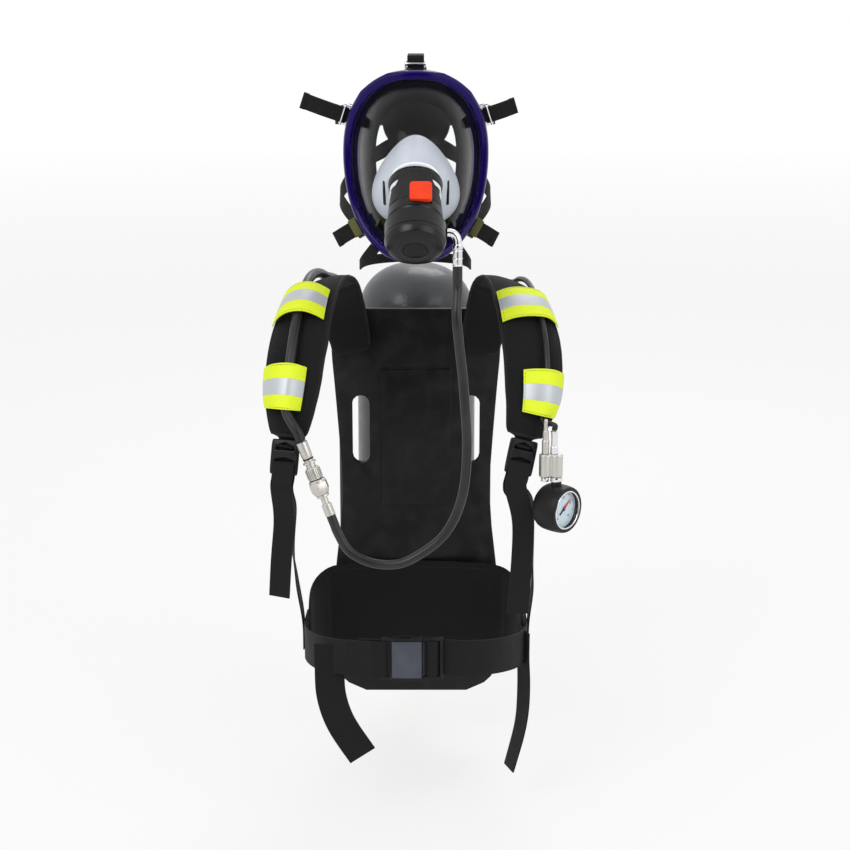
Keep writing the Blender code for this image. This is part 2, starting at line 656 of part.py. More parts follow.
def head_strap(label, degrees, tail, way):
    """One buckle on the seal and the strap that runs through it, back to the nape pad."""
    angle = math.radians(degrees)
    lug = rim_point(angle, 0.0, LUG_BACK)
    along = (rim_point(angle + 0.05, 0.0, LUG_BACK) - rim_point(angle - 0.05, 0.0, LUG_BACK)).normalized()
    outward = (rim_point(angle, 0.01, LUG_BACK) - lug).normalized()
    outward = (outward - along * outward.dot(along)).normalized()
    frame = axes_frame(lug + outward * GAP * 2, outward, outward.cross(along))
    buckle = block("buckle_" + label, "chrome", (-BUCKLE_LENGTH / 2, 0.0, -BUCKLE_THICK / 2),
                   (BUCKLE_LENGTH / 2, BUCKLE_HEIGHT, BUCKLE_THICK / 2), frame)
    slot_low = (BUCKLE_HEIGHT - BUCKLE_SLOT) / 2
    slot = block("slot_" + label, "chrome", (-STRAP_WIDTH / 2 - 0.001, slot_low, -0.01),
                 (STRAP_WIDTH / 2 + 0.001, slot_low + BUCKLE_SLOT, 0.01), frame)
    soften(buckle, 0.0006, 1)
    combine(buckle, slot, "DIFFERENCE")
    middle = lug + outward * (BUCKLE_HEIGHT / 2 + GAP * 2)
    back = outward.cross(along)
    if back.y < 0:
        back = -back
    lift = BUCKLE_THICK / 2 + WEB / 2 + 0.0007
    tail_way = [middle + outward * (BUCKLE_HEIGHT / 2 + tail) - back * lift,
                middle + outward * (BUCKLE_HEIGHT / 2 + tail / 2) - back * (lift + 0.001),
                middle + outward * (BUCKLE_SLOT / 2 + 0.004) - back * lift]
    through = [middle + outward * 0.0020 - back * lift * 0.9, middle + outward * -0.0014 + back * lift * 0.9]
    behind = [middle + outward * -0.0014 + back * 0.006, middle + outward * -0.0008 + back * 0.012] + way
    last = Vector((along.x, 0.0, along.z)) if abs(along.x) > 0.5 else Vector((0.0, 0.0, along.z))
    sides = [along, along] + [last.normalized()] * len(way)
    stations = [(point, along) for point in smooth_route(tail_way, 2) + through]
    ribbon("strap_" + label, "webbing", stations + smooth_stations(list(zip(behind, sides)), 3), STRAP_WIDTH)


def build_coupling():
    """Socket with its crimp, spring sleeve and push-in plug, about one slanted axis."""
    axis = (COUPLING_END - COUPLING_TOP).normalized()
    length = (COUPLING_END - COUPLING_TOP).length
    frame = axis_frame(COUPLING_TOP, axis)
    tip = HEAD_AT + HEAD_LENGTH
    bore = PLUG_RADIUS + GAP
    inner = tip - PLUG_DEPTH - 0.001
    turned("coupling_socket", "nickel", [
        (0.0, 0.0), (CRIMP_RADIUS, 0.0), (CRIMP_RADIUS, CRIMP_LENGTH - 0.002), (CRIMP_RADIUS - 0.0012,
                                                                                CRIMP_LENGTH),
        (SPINDLE_RADIUS, CRIMP_LENGTH), (SPINDLE_RADIUS, COLLAR_AT - 0.0025), (COLLAR_RADIUS,
                                                                               COLLAR_AT - 0.0020),
        (COLLAR_RADIUS, COLLAR_AT), (SPINDLE_RADIUS, COLLAR_AT), (SPINDLE_RADIUS, HEAD_AT),
        (HEAD_RADIUS - 0.001, HEAD_AT), (HEAD_RADIUS, HEAD_AT + 0.001), (HEAD_RADIUS, tip - 0.003),
        (HEAD_RADIUS - 0.002, tip), (bore, tip), (bore, inner), (0.0, inner)], frame)
    sleeve_frame = frame @ Matrix.Translation((0.0, 0.0, HEAD_AT - GAP - SLEEVE_LENGTH))
    turned("coupling_sleeve", "nickel", [
        (SPINDLE_RADIUS + GAP, 0.0), (SLEEVE_RADIUS - 0.001, 0.0), (SLEEVE_RADIUS, 0.001),
        (SLEEVE_RADIUS, SLEEVE_LENGTH - 0.001), (SLEEVE_RADIUS - 0.001, SLEEVE_LENGTH),
        (SPINDLE_RADIUS + GAP, SLEEVE_LENGTH)], sleeve_frame, ring=True)
    plug_frame = frame @ Matrix.Translation((0.0, 0.0, tip))
    tail = length - tip
    turned("coupling_plug", "nickel", [
        (0.0, -PLUG_DEPTH), (PLUG_RADIUS - 0.001, -PLUG_DEPTH), (PLUG_RADIUS, -PLUG_DEPTH + 0.002),
        (PLUG_RADIUS, GAP), (PLUG_RING, GAP), (PLUG_RING, 0.003), (PLUG_RADIUS, 0.0035), (PLUG_RADIUS,
                                                                                          0.0115),
        (DEMAND_HOSE_RADIUS + 0.0005, 0.0120), (DEMAND_HOSE_RADIUS + 0.0005, tail), (0.0, tail)], plug_frame)
    return axis


def build_demand_hose(start, plug_axis):
    """Free hose from the elbow's ferrule, in a loop across the chest, up into the plug."""
    end = COUPLING_END + plug_axis * GAP * 2
    route = [
        start, start - Vector((0.0, 0.0, 0.012)), start - Vector((0.0, 0.0, 0.026)),
        Vector((0.0462, -0.2760, 0.212)), Vector((0.0495, -0.2760, 0.178)),
        Vector((0.0535, -0.2760, 0.143)), Vector((0.0563, -0.2760, 0.108)), Vector((0.0586, -0.2760, 0.071)),
        Vector((0.0576, -0.2760, 0.035)), Vector((0.0537, -0.2760, 0.006)), Vector((0.0450, -0.2760, -0.021)),
        Vector((0.0306, -0.2760, -0.044)), Vector((0.0086, -0.2760, -0.062)),
        Vector((-0.0134, -0.2760, -0.074)),
        Vector((-0.0355, -0.2755, -0.0765)), Vector((-0.0575, -0.2745, -0.0715)),
        Vector((-0.0760, -0.2725, -0.060)), end + plug_axis * 0.022, end + plug_axis * 0.010, end]
    hose("demand_hose", route, DEMAND_HOSE_RADIUS, 2)


def pad_route(side):
    """Centre line of a pad on the left, with its lower end drawn aside as that strap hangs."""
    shift = Vector((PAD_END_SHIFT[side], 0.0, 0.0))
    return PAD_ROUTE[:-2] + [PAD_ROUTE[-2] + shift * 0.3, PAD_ROUTE[-1] + shift]


def pad_frame_at(side, place):
    """Centre, along, across and outward directions of a pad at a place on its route."""
    route = pad_route(side)
    centre = curve_at(route, place)
    along = (curve_at(route, place + 0.02) - curve_at(route, place - 0.02)).normalized()
    across = curve_at(PAD_ACROSS, place)
    across = (across - along * across.dot(along)).normalized()
    outward = across.cross(along)
    return tuple(mirrored(vector, side) for vector in (centre, along, across, outward))


def pad_half_width(place):
    """Half of the pad's width at a place on its route."""
    return curve_at([Vector((width, 0.0, 0.0)) for width in PAD_HALF_WIDTHS], place).x


def pad_crown(place, aside):
    """Height of the pad's crowned face over its centre line."""
    share = min(1.0, abs(aside) / pad_half_width(place))
    return PAD_CROWN * (1.0 - share ** 3)


def pad_point(side, place, aside, lift):
    """Point over the pad's crowned face."""
    centre, _, across, outward = pad_frame_at(side, place)
    return centre + across * aside + outward * (pad_crown(place, aside) + lift)


def build_shoulder_pad(label, side):
    """Crowned pad with drawn-in edges, ending in a sewn tongue through the adjuster."""
    shares = [-1.0, -0.85, -0.5, 0.0, 0.5, 0.85, 1.0]
    end = len(PAD_ROUTE) - 1
    rings = []
    for step in range(PAD_RINGS + 1):
        place = end * step / PAD_RINGS
        centre, _, across, outward = pad_frame_at(side, place)
        half = pad_half_width(place)
        front = [centre + across * (half * share) + outward * pad_crown(place,
                                                                        half * share) for share in shares]
        rear = [centre + across * (half * share) - outward * PAD_BACK for share in (0.9, 0.4, -0.4, -0.9)]
        rings.append(front + rear)
    centre, along, across, outward = pad_frame_at(side, end)
    for ahead, out in ((0.0030, 0.0), (0.0070, 0.0004), (0.0105, 0.0032), (0.0145, 0.0105)):
        middle = centre + along * ahead + outward * out
        lean = outward if ahead < 0.01 else (outward - along * 0.8).normalized()
        up = lean * TONGUE_HALF_THICK
        front = [middle + across * (TONGUE_HALF_WIDTH * share) + up for share in shares]
        rear = [middle + across * (TONGUE_HALF_WIDTH * share) - up for share in (0.9, 0.4, -0.4, -0.9)]
        rings.append(front + rear)
    loft("shoulder_pad_" + label, "pad_cloth", rings)


def build_tape(name, side, place, inner_share, hose_aside, hose_radius):
    """Reflective tape from the pad's outer edge over its hose, domed where it stands clear of the pad."""
    span = TAPE_LENGTH / (curve_at(PAD_ROUTE, place + 0.5) - curve_at(PAD_ROUTE, place - 0.5)).length
    rings = []
    for row in range(TAPE_ROWS):
        here = place + span * (row / (TAPE_ROWS - 1) - 0.5)
        low = -pad_half_width(here) * TAPE_OUTER_SHARE
        high = pad_half_width(here) * inner_share
        outer = []
        inner = []
        for column in range(TAPE_COLUMNS + 1):
            aside = low + (high - low) * column / TAPE_COLUMNS
            reach = high - hose_aside if aside > hose_aside else hose_aside - low
            share = 1.0 - ((aside - hose_aside) / reach) ** 2
            lift = TAPE_CLEAR + (2.0 * hose_radius + 2 * TAPE_CLEAR) * share
            inner.append(pad_point(side, here, aside, lift))
            outer.append(pad_point(side, here, aside, lift + TAPE_THICK))
        rings.append(outer + inner[::-1])
    loft(name, "tape_yellow", rings)


def build_adjuster(label, side, anchor_way, tail_way):
    """Ladder-lock on the pad's tongue and the pull strap that turns back over its low bar."""
    centre, along, across, outward = pad_frame_at(side, len(PAD_ROUTE) - 1)
    back_face = 0.0022
    frame = axes_frame(centre + along * ADJUSTER_LEAD + outward * back_face, along, outward)
    half = ADJUSTER_WIDTH / 2
    top_slot = ADJUSTER_TOP_BAR + ADJUSTER_TOP_SLOT
    low_slot = top_slot + ADJUSTER_MID_BAR
    low_bar = low_slot + ADJUSTER_LOW_SLOT
    length = low_bar + ADJUSTER_LOW_BAR
    lock = block("adjuster_" + label, "moulded_black", (-half, 0.0, 0.0), (half, length, ADJUSTER_THICK),
                 frame)
    soften(lock, 0.0010, 1)
    wide = ADJUSTER_SLOT_WIDTH / 2
    for start, finish, name in ((ADJUSTER_TOP_BAR, top_slot, "top"), (low_slot, low_bar, "low")):
        slot = block("adjuster_%s_%s" % (name, label), "moulded_black", (-wide, start, -0.01),
                     (wide, finish, ADJUSTER_THICK + 0.01), frame)
        combine(lock, slot, "DIFFERENCE")
    reach = ADJUSTER_THICK / 2 + WEB / 2 + 0.0006
    turns = []
    for step in range(7):
        turn = math.pi * step / 6
        local = Vector((0.0, low_bar - reach * math.sin(turn), ADJUSTER_THICK / 2 - reach * math.cos(turn)))
        turns.append(frame @ local)
    middle = ADJUSTER_THICK / 2
    behind = [frame @ Vector((0.0, length + ahead, middle - reach - ahead * 0.1)) for ahead in (0.016, 0.003)]
    before = [frame @ Vector((0.0, length + ahead, middle + reach + ahead * 0.1)) for ahead in (0.003, 0.016)]
    leg = smooth_route([mirrored(point, side) for point in anchor_way] + behind, 3)
    fall = smooth_route(before + [mirrored(point, side) for point in tail_way], 3)
    steady = Vector((0.0, 1.0, 0.0))
    stations = []
    for index, point in enumerate(leg):
        share = max(0.0, index / (len(leg) - 1) - 0.35) / 0.65
        stations.append((point, steady.lerp(across * -1.0, share)))
    stations += [(point, across * -1.0) for point in turns]
    stations += [(point, across * -1.0) for point in fall]
    ribbon("pull_strap_" + label, "webbing", stations, PULL_WIDTH)


def build_shoulders():
    """Both padded straps with their tapes, adjusters and pull straps."""
    places = {RIGHT: (4.12, 5.93), LEFT: (4.15, 6.00)}
    shares = {RIGHT: (0.78, 0.50), LEFT: (0.90, 0.42)}
    hoses = {RIGHT: (SUPPLY_ACROSS, SUPPLY_HOSE_RADIUS), LEFT: (GAUGE_ACROSS, GAUGE_HOSE_RADIUS)}
    tails = {
        RIGHT: [Vector((0.150, -0.251, -0.030)), Vector((0.155, -0.245, -0.080)),
                Vector((0.159, -0.236, -0.130))],
        LEFT: [Vector((0.124, -0.250, -0.030)), Vector((0.124, -0.245, -0.080)),
               Vector((0.120, -0.238, -0.150))],
    }
    anchors = {
        RIGHT: [Vector((0.1428, -0.078, -0.256)), Vector((0.1432, -0.080, -0.215)),
                Vector((0.1480, -0.112, -0.155)),
                Vector((0.1500, -0.162, -0.085)), Vector((0.1475, -0.212, -0.025))],
        LEFT: [Vector((0.1428, -0.078, -0.256)), Vector((0.1432, -0.080, -0.215)),
               Vector((0.1460, -0.112, -0.155)),
               Vector((0.1400, -0.162, -0.085)), Vector((0.1290, -0.212, -0.025))],
    }
    for label, side in (("right", RIGHT), ("left", LEFT)):
        build_shoulder_pad(label, side)
        for name, place, share in zip(("shoulder", "chest"), places[side], shares[side]):
            build_tape("tape_%s_%s" % (name, label), side, place, share, *hoses[side])
        build_adjuster(label, side, anchors[side], tails[side])


def pad_hose_route(side, aside, radius, first, last):
    """Hose points that ride on the pad's face between two places."""
    count = int((last - first) * 3)
    places = [first + (last - first) * step / count for step in range(count + 1)]
    return [pad_point(side, place, aside, radius + 0.0006) for place in places]


def build_back_hoses():
    """Supply and gauge hoses from the reducer, up the plate, over the shoulders and down the pads."""
    rear = PLATE_FRONT + PLATE_THICK
    axis = (COUPLING_END - COUPLING_TOP).normalized()
    supply_end = COUPLING_TOP - axis * GAP * 2
    lift = rear + SUPPLY_HOSE_RADIUS + 0.0008
    out = REDUCER_RADIUS + 2 * GAP
    level = rear + REDUCER_LENGTH / 2
    supply = [Vector((-out, level, OUTLET_Z)), Vector((-out - 0.010, level, OUTLET_Z)),
              Vector((-out - 0.022, level, OUTLET_Z)),
              Vector((-0.083, lift + 0.004, -0.292)), Vector((-0.094, lift, -0.230)),
              Vector((-0.094, lift, -0.120)),
              Vector((-0.094, lift, 0.0)), Vector((-0.094, lift, 0.110)), Vector((-0.094, lift, 0.170)),
              Vector((-0.097, 0.010, 0.203))]
    supply += pad_hose_route(RIGHT, SUPPLY_ACROSS, SUPPLY_HOSE_RADIUS, 2.1, 6.4)
    supply += [supply_end - axis * 0.014, supply_end - axis * 0.007, supply_end]
    hose("supply_hose", supply, SUPPLY_HOSE_RADIUS, 2)
    lift = rear + GAUGE_HOSE_RADIUS + 0.0008
    ferrule_top = Vector((MANIFOLD_CENTRE.x + BARREL_SPACING / 2 - 0.003, MANIFOLD_CENTRE.y,
                          MANIFOLD_CENTRE.z + MANIFOLD_TALL / 2 + 0.0265 + 2 * GAP))
    gauge = [Vector((out, level, OUTLET_Z)), Vector((out + 0.010, level, OUTLET_Z)),
             Vector((out + 0.022, level, OUTLET_Z)),
             Vector((0.083, lift + 0.004, -0.292)), Vector((0.094, lift, -0.230)),
             Vector((0.094, lift, -0.120)),
             Vector((0.094, lift, 0.0)), Vector((0.094, lift, 0.110)), Vector((0.094, lift, 0.170)),
             Vector((0.098, 0.009, 0.200))]
    gauge += pad_hose_route(LEFT, GAUGE_ACROSS, GAUGE_HOSE_RADIUS, 2.1, 6.55)
    gauge += [ferrule_top + Vector((0.0, 0.0, 0.007)), ferrule_top + Vector((0.0, 0.0, 0.003)), ferrule_top]
    hose("gauge_hose", gauge, GAUGE_HOSE_RADIUS, 2)
    turned("gauge_ferrule", "chrome", [
        (0.0, GAP), (GAUGE_HOSE_RADIUS + 0.001, GAP), (GAUGE_HOSE_RADIUS + 0.001, 0.008),
        (GAUGE_HOSE_RADIUS + 0.0002, 0.009), (GAUGE_HOSE_RADIUS + 0.0002, 0.024),
        (GAUGE_HOSE_RADIUS + 0.0008, 0.025), (GAUGE_HOSE_RADIUS + 0.0008, 0.0265), (0.0, 0.0265)],
        Matrix.Translation((ferrule_top.x, ferrule_top.y, MANIFOLD_CENTRE.z + MANIFOLD_TALL / 2)))


def barrel_outline(steps=10):
    """Outline of two touching round barrels in one block."""
    half = BARREL_SPACING / 2
    meet = math.acos(half / BARREL_RADIUS)
    sweep = math.tau - 2 * meet
    right = [meet - math.pi + sweep * step / steps for step in range(steps + 1)]
    points = [(half + BARREL_RADIUS * math.cos(turn), BARREL_RADIUS * math.sin(turn)) for turn in right]
    return points + [(-x, -y) for x, y in points[1:-1]]


def build_gauge():
    """Manifold with whistle, and the swivelling gauge with dial, needle and lens in its rubber boot."""
    base = MANIFOLD_CENTRE - Vector((0.0, 0.0, MANIFOLD_TALL / 2))
    block_part = extruded("gauge_manifold", "chrome", barrel_outline(), MANIFOLD_TALL,
                          Matrix.Translation(base))
    soften(block_part, 0.0012, 1)
    half = BARREL_SPACING / 2
    top = MANIFOLD_CENTRE + Vector((-half, 0.0, MANIFOLD_TALL / 2 + GAP))
    turned("whistle", "nickel", [
        (0.0, 0.0), (WHISTLE_RADIUS, 0.0), (WHISTLE_RADIUS, 0.015), (WHISTLE_RADIUS - 0.0008, 0.016),
        (WHISTLE_RADIUS - 0.0008, 0.026), (WHISTLE_RADIUS - 0.0018, 0.027), (WHISTLE_RADIUS - 0.0018, 0.038),
        (WHISTLE_RADIUS - 0.0026, WHISTLE_LENGTH), (0.0, WHISTLE_LENGTH)], Matrix.Translation(top), steps=16)
    facing = Vector((math.sin(GAUGE_YAW), -math.cos(GAUGE_YAW), 0.0))
    swivel = MANIFOLD_CENTRE + Vector((half, 0.0, -GAUGE_DROP))
    frame = axes_frame(swivel, Vector((0.0, 0.0, 1.0)), facing)
    deep = GAUGE_DEPTH / 2
    boot = turned("gauge_boot", "rubber", [
        (0.0, -deep), (GAUGE_RADIUS - 0.006, -deep), (GAUGE_RADIUS - 0.0015, -deep + 0.004),
        (GAUGE_RADIUS, -deep + 0.012), (GAUGE_RADIUS, deep - 0.005), (GAUGE_RADIUS - 0.0015, deep),
        (DIAL_RADIUS + 0.0006, deep), (DIAL_RADIUS + 0.0006, deep - DIAL_RECESS), (0.0,
                                                                                   deep - DIAL_RECESS)], frame,
        steps=28)
    stem_top = GAUGE_DROP - MANIFOLD_TALL / 2 - GAP
    stem = turned("gauge_stem", "chrome", [
        (0.0, GAUGE_RADIUS - 0.004), (0.0062, GAUGE_RADIUS - 0.004), (0.0062, stem_top - 0.003),
        (0.0046, stem_top - 0.0025), (0.0046, stem_top), (0.0, stem_top)], Matrix.Translation(swivel),
        steps=12)
    combine(boot, stem, "UNION")
    floor = deep - DIAL_RECESS + GAP
    turned("gauge_dial", "dial_white", [
        (0.0, floor), (DIAL_RADIUS, floor), (DIAL_RADIUS, floor + DIAL_THICK), (0.0, floor + DIAL_THICK)],
        frame,
        steps=28)
    needle_face = floor + DIAL_THICK + GAP
    lens_face = deep - 0.0005
    turned("gauge_lens", "clear", [
        (0.0, lens_face - LENS_THICK), (DIAL_RADIUS, lens_face - LENS_THICK), (DIAL_RADIUS,
                                                                               lens_face - 0.0008),
        (DIAL_RADIUS - 0.002, lens_face), (0.0, lens_face)], frame, steps=28)
    needle_frame = frame @ Matrix.Translation((0.0, 0.0, needle_face)) @ Matrix.Rotation(-NEEDLE_TURN, 4, "Z")
    outline = [(-0.0016, -0.0075), (0.0016, -0.0075), (0.0018, 0.0), (0.0008, NEEDLE_LENGTH),
               (-0.0008, NEEDLE_LENGTH), (-0.0018, 0.0)]
    extruded("gauge_needle", "needle_red", outline, 0.0008, needle_frame)


def belt_side_route(side):
    """Belt from the lumbar pad's end round the hip to the front."""
    points = [Vector((0.1395, -0.050, -0.238)), Vector((0.1400, -0.085, -0.237)),
              Vector((0.1375, -0.122, -0.234)),
              Vector((0.1220, -0.166, -0.227)), Vector((0.0930, -0.202, -0.219)),
              Vector((0.0640, -0.2195, -0.214))]
    return [mirrored(point, side) for point in points]


def build_belt():
    """Lumbar pad, both belt halves with their loose tails, and the side-release buckle."""
    upright = Vector((0.0, 0.0, 1.0))
    build_lumbar_pad()
    centre = BUCKLE_CENTRE
    bar_middle = centre.x + SOCKET_LEFT + SOCKET_BAR / 2
    reach = SOCKET_BAR_THICK / 2 + WEB / 2 + 0.0006
    level = centre.z
    front = [Vector((bar_middle - 0.012, centre.y - reach, level))]
    turn_centre = Vector((bar_middle + SOCKET_BAR / 2 - 0.0009, centre.y, level))
    loop = []
    for step in range(7):
        turn = math.pi * step / 6
        loop.append(turn_centre + Vector((reach * math.sin(turn), -reach * math.cos(turn), 0.0)))
    fold = [Vector((bar_middle - 0.010, centre.y + reach, level)),
            Vector((bar_middle - 0.030, centre.y + 0.0075, level))]
    route = smooth_route(belt_side_route(RIGHT) + front, 4) + loop + fold
    right_belt = ribbon("belt_right", "webbing", [(point, upright) for point in route], BELT_WIDTH)
    aside = Vector((1.0, 0.0, 0.0))
    right_tail = [(Vector((-0.104, -0.1955, -0.205)), aside), (Vector((-0.104, -0.1955, -0.240)), aside),
                  (Vector((-0.102, -0.202, -0.270)), Vector((1.0, 0.0, 0.25))),
                  (Vector((-0.090, -0.212, -0.302)), Vector((0.85, 0.0, 0.45))),
                  (Vector((-0.064, -0.216, -0.342)), Vector((0.8, 0.0, 0.55)))]
    tail = ribbon("belt_tail_right", "webbing", smooth_stations(right_tail, 3), BELT_WIDTH * 0.82)
    combine(right_belt, tail, "UNION")
    build_buckle()
    right_bar = centre.x + SOCKET_RIGHT + TONGUE_BASE
    plate = TONGUE_THICK / 2 + WEB / 2 + 0.0006
    ladder = right_bar - 0.0035 - TONGUE_SLOT - TONGUE_BAR / 2
    end_weave = [
        Vector((right_bar + 0.004, centre.y + plate, level)),
        Vector((ladder + TONGUE_BAR / 2 + TONGUE_SLOT - 0.0005, centre.y + plate, level)),
        Vector((ladder + TONGUE_BAR / 2 + 0.0005, centre.y - plate, level)),
        Vector((ladder - TONGUE_BAR / 2 - 0.0005, centre.y - plate, level)),
        Vector((ladder - TONGUE_BAR / 2 - TONGUE_SLOT + 0.0022, centre.y + TONGUE_THICK / 2, level))]
    route = smooth_route(belt_side_route(LEFT)[:-1] + [Vector((0.060, -0.2185, -0.214))] + end_weave[:1], 4)
    left_belt = ribbon("belt_left", "webbing", [(point, upright) for point in route[:-1] + end_weave],
                       BELT_WIDTH)
    left_tail = [(Vector((0.1345, -0.128, -0.212)), Vector((0.35, -1.0, 0.0))),
                 (Vector((0.1345, -0.128, -0.250)), Vector((0.35, -1.0, 0.0))),
                 (Vector((0.1350, -0.140, -0.285)), Vector((0.35, -1.0, 0.1))),
                 (Vector((0.1310, -0.160, -0.325)), Vector((0.30, -1.0, 0.1))),
                 (Vector((0.1160, -0.172, -0.380)), Vector((0.25, -1.0, 0.1)))]
    tail = ribbon("belt_tail_left", "webbing", smooth_stations(left_tail, 3), BELT_WIDTH * 0.82)
    combine(left_belt, tail, "UNION")


def build_lumbar_pad():
    """Padded waist pad, curved round the back of the hips."""
    half = [Vector((0.1335, -0.100, -0.228)), Vector((0.1330, -0.065, -0.226)),
            Vector((0.1160, -0.026, -0.224)),
            Vector((0.0800, -0.0075, -0.224))]
    middle = [Vector((0.0, PLATE_FRONT - LUMBAR_THICK / 2 - 2 * GAP, -0.224))]
    route = smooth_route([mirrored(point, RIGHT) for point in half] + middle + half[::-1], 3)
    rings = []
    for index, point in enumerate(route):
        along = (route[min(index + 1, len(route) - 1)] - route[max(index - 1, 0)]).normalized()
        outward = along.cross(Vector((0.0, 0.0, 1.0))).normalized()
        share = abs(2.0 * index / (len(route) - 1) - 1.0)
        tall = LUMBAR_TALL / 2 * (1.0 - 0.35 * share ** 4)
        thick = LUMBAR_THICK / 2
        section = [(-1.0, 0.0), (-0.9, thick), (-0.3, thick), (0.3, thick), (0.9, thick), (1.0, 0.0),
                   (0.9, -thick),
                   (-0.9, -thick)]
        rings.append([point + Vector((0.0, 0.0, tall * level)) + outward * out for level, out in section])
    loft("lumbar_pad", "pad_cloth", rings)


def build_buckle():
    """Socket with its tongue cavity and release windows, and the pronged tongue with a ladder bar."""
    frame = Matrix.Translation(BUCKLE_CENTRE)
    half = BUCKLE_TALL / 2
    thin = SOCKET_BAR_THICK / 2
    deep = SOCKET_THICK / 2
    slot_end = SOCKET_LEFT + SOCKET_BAR + SOCKET_SLOT
    outline = [(SOCKET_LEFT, -thin), (slot_end, -thin), (slot_end + 0.004, -deep), (SOCKET_RIGHT, -deep),
               (SOCKET_RIGHT, deep), (slot_end + 0.004, deep), (slot_end, thin), (SOCKET_LEFT, thin)]
    socket = extruded("buckle_socket", "buckle_grey", outline, BUCKLE_TALL,
                      frame @ Matrix.Translation((0.0, 0.0, -half)))
    rail = BELT_WIDTH / 2 + 0.0008
    slot = block("socket_slot", "buckle_grey", (SOCKET_LEFT + SOCKET_BAR, -0.02, -rail),
                 (slot_end, 0.02, rail), frame)
    combine(socket, slot, "DIFFERENCE")
    arm = half - 0.0045
    room = TONGUE_THICK / 2 + GAP
    cavity = block("socket_cavity", "buckle_grey", (SOCKET_RIGHT - TONGUE_REACH - 0.0015, -room, -arm - GAP),
                   (SOCKET_RIGHT + 0.01, room, arm + GAP), frame)
    combine(socket, cavity, "DIFFERENCE")
    for name, sign in (("top", 1), ("bottom", -1)):
        low, high = sorted((sign * (arm - 0.003), sign * (half + 0.01)))
        window = block("window_" + name, "buckle_grey", (SOCKET_RIGHT - TONGUE_REACH - 0.0015, -room, low),
                       (SOCKET_RIGHT - TONGUE_REACH + 0.013, room, high), frame)
        combine(socket, window, "DIFFERENCE")
    base = SOCKET_RIGHT + GAP
    tip = SOCKET_RIGHT - TONGUE_REACH
    end = SOCKET_RIGHT + TONGUE_BASE
    inside = arm - TONGUE_ARM
    outline = [(end, -half), (end, half), (base, half), (base, arm), (tip + 0.004, arm), (tip, arm - 0.004),
               (tip, inside + 0.002), (base - 0.002, inside), (base - 0.002, 0.003), (tip + 0.008, 0.003),
               (tip + 0.008, -0.003), (base - 0.002, -0.003), (base - 0.002, -inside), (tip, -inside - 0.002),
               (tip, -arm + 0.004), (tip + 0.004, -arm), (base, -arm), (base, -half)]
    upright = axes_frame(BUCKLE_CENTRE + Vector((0.0, TONGUE_THICK / 2, 0.0)), Vector((0.0, 0.0, 1.0)),
                         Vector((0.0, -1.0, 0.0)))
    tongue = extruded("buckle_tongue", "buckle_grey", outline, TONGUE_THICK, upright)
    first = end - 0.0035 - TONGUE_SLOT
    for name, start in (("outer", first), ("inner", first - TONGUE_BAR - TONGUE_SLOT)):
        slot = block("tongue_" + name, "buckle_grey", (start, -0.02, -rail),
                     (start + TONGUE_SLOT, 0.02, rail), frame)
        combine(tongue, slot, "DIFFERENCE")


def plate_outline():
    """Back plate's outline: broad shoulders, drawn-in waist and broad hips, from one smooth side."""
    side = [Vector((PLATE_SHOULDER - 0.030, PLATE_TOP, 0.0)),
            Vector((PLATE_SHOULDER - 0.006, PLATE_TOP - 0.012, 0.0)),
            Vector((PLATE_SHOULDER, PLATE_TOP - 0.045, 0.0)), Vector((PLATE_WAIST + 0.006, 0.04, 0.0)),
            Vector((PLATE_WAIST, -0.08, 0.0)), Vector((PLATE_HIP - 0.004, -0.200, 0.0)),
            Vector((PLATE_HIP, -0.280, 0.0)), Vector((PLATE_HIP - 0.012, PLATE_BOTTOM + 0.020, 0.0)),
            Vector((PLATE_HIP - 0.045, PLATE_BOTTOM, 0.0))]
    run = smooth_route(side, 3)
    return [(point.x, point.y) for point in run] + [(-point.x, point.y) for point in run[::-1]]


def build_back_plate():
    """Moulded plate with rest panel, hand holes, cylinder cradle ribs and a foot rib for the reducer."""
    upright = axes_frame(Vector((0.0, PLATE_FRONT + PLATE_THICK, 0.0)), Vector((0.0, 0.0, 1.0)),
                         Vector((0.0, -1.0, 0.0)))
    plate = extruded("backplate", "moulded_black", plate_outline(), PLATE_THICK, upright)
    panel = block("rest_panel", "moulded_black", (-PANEL_WIDTH / 2, 0.0, -PANEL_TALL / 2),
                  (PANEL_WIDTH / 2, PLATE_FRONT + 0.004, PANEL_TALL / 2))
    combine(plate, panel, "UNION")
    rear = PLATE_FRONT + PLATE_THICK
    for name, side in (("right", RIGHT), ("left", LEFT)):
        middle = 0.071 * side
        hole = extruded("hand_hole_" + name, "moulded_black", stadium(0.022, 0.090), PLATE_THICK * 3,
                        axes_frame(Vector((middle, rear + PLATE_THICK, 0.010)), Vector((0.0, 0.0, 1.0)),
                                   Vector((0.0, -1.0, 0.0))))
        combine(plate, hole, "DIFFERENCE")
        at = 0.046
        top = CYLINDER_Y - math.sqrt(CYLINDER_RADIUS ** 2 - at ** 2) - 0.0008
        low, high = sorted((side * at, side * (at + 0.008)))
        rib = block("cradle_rib_" + name, "moulded_black", (low, rear - 0.004, -0.200), (high, top, 0.120))
        combine(plate, rib, "UNION")


def stadium(width, tall, steps=6):
    """Slot outline with round ends."""
    radius = width / 2
    straight = tall / 2 - radius
    upper = [(radius * math.cos(math.pi * step / steps), straight + radius * math.sin(math.pi * step / steps))
             for step in range(steps + 1)]
    return upper + [(-x, -y) for x, y in upper]


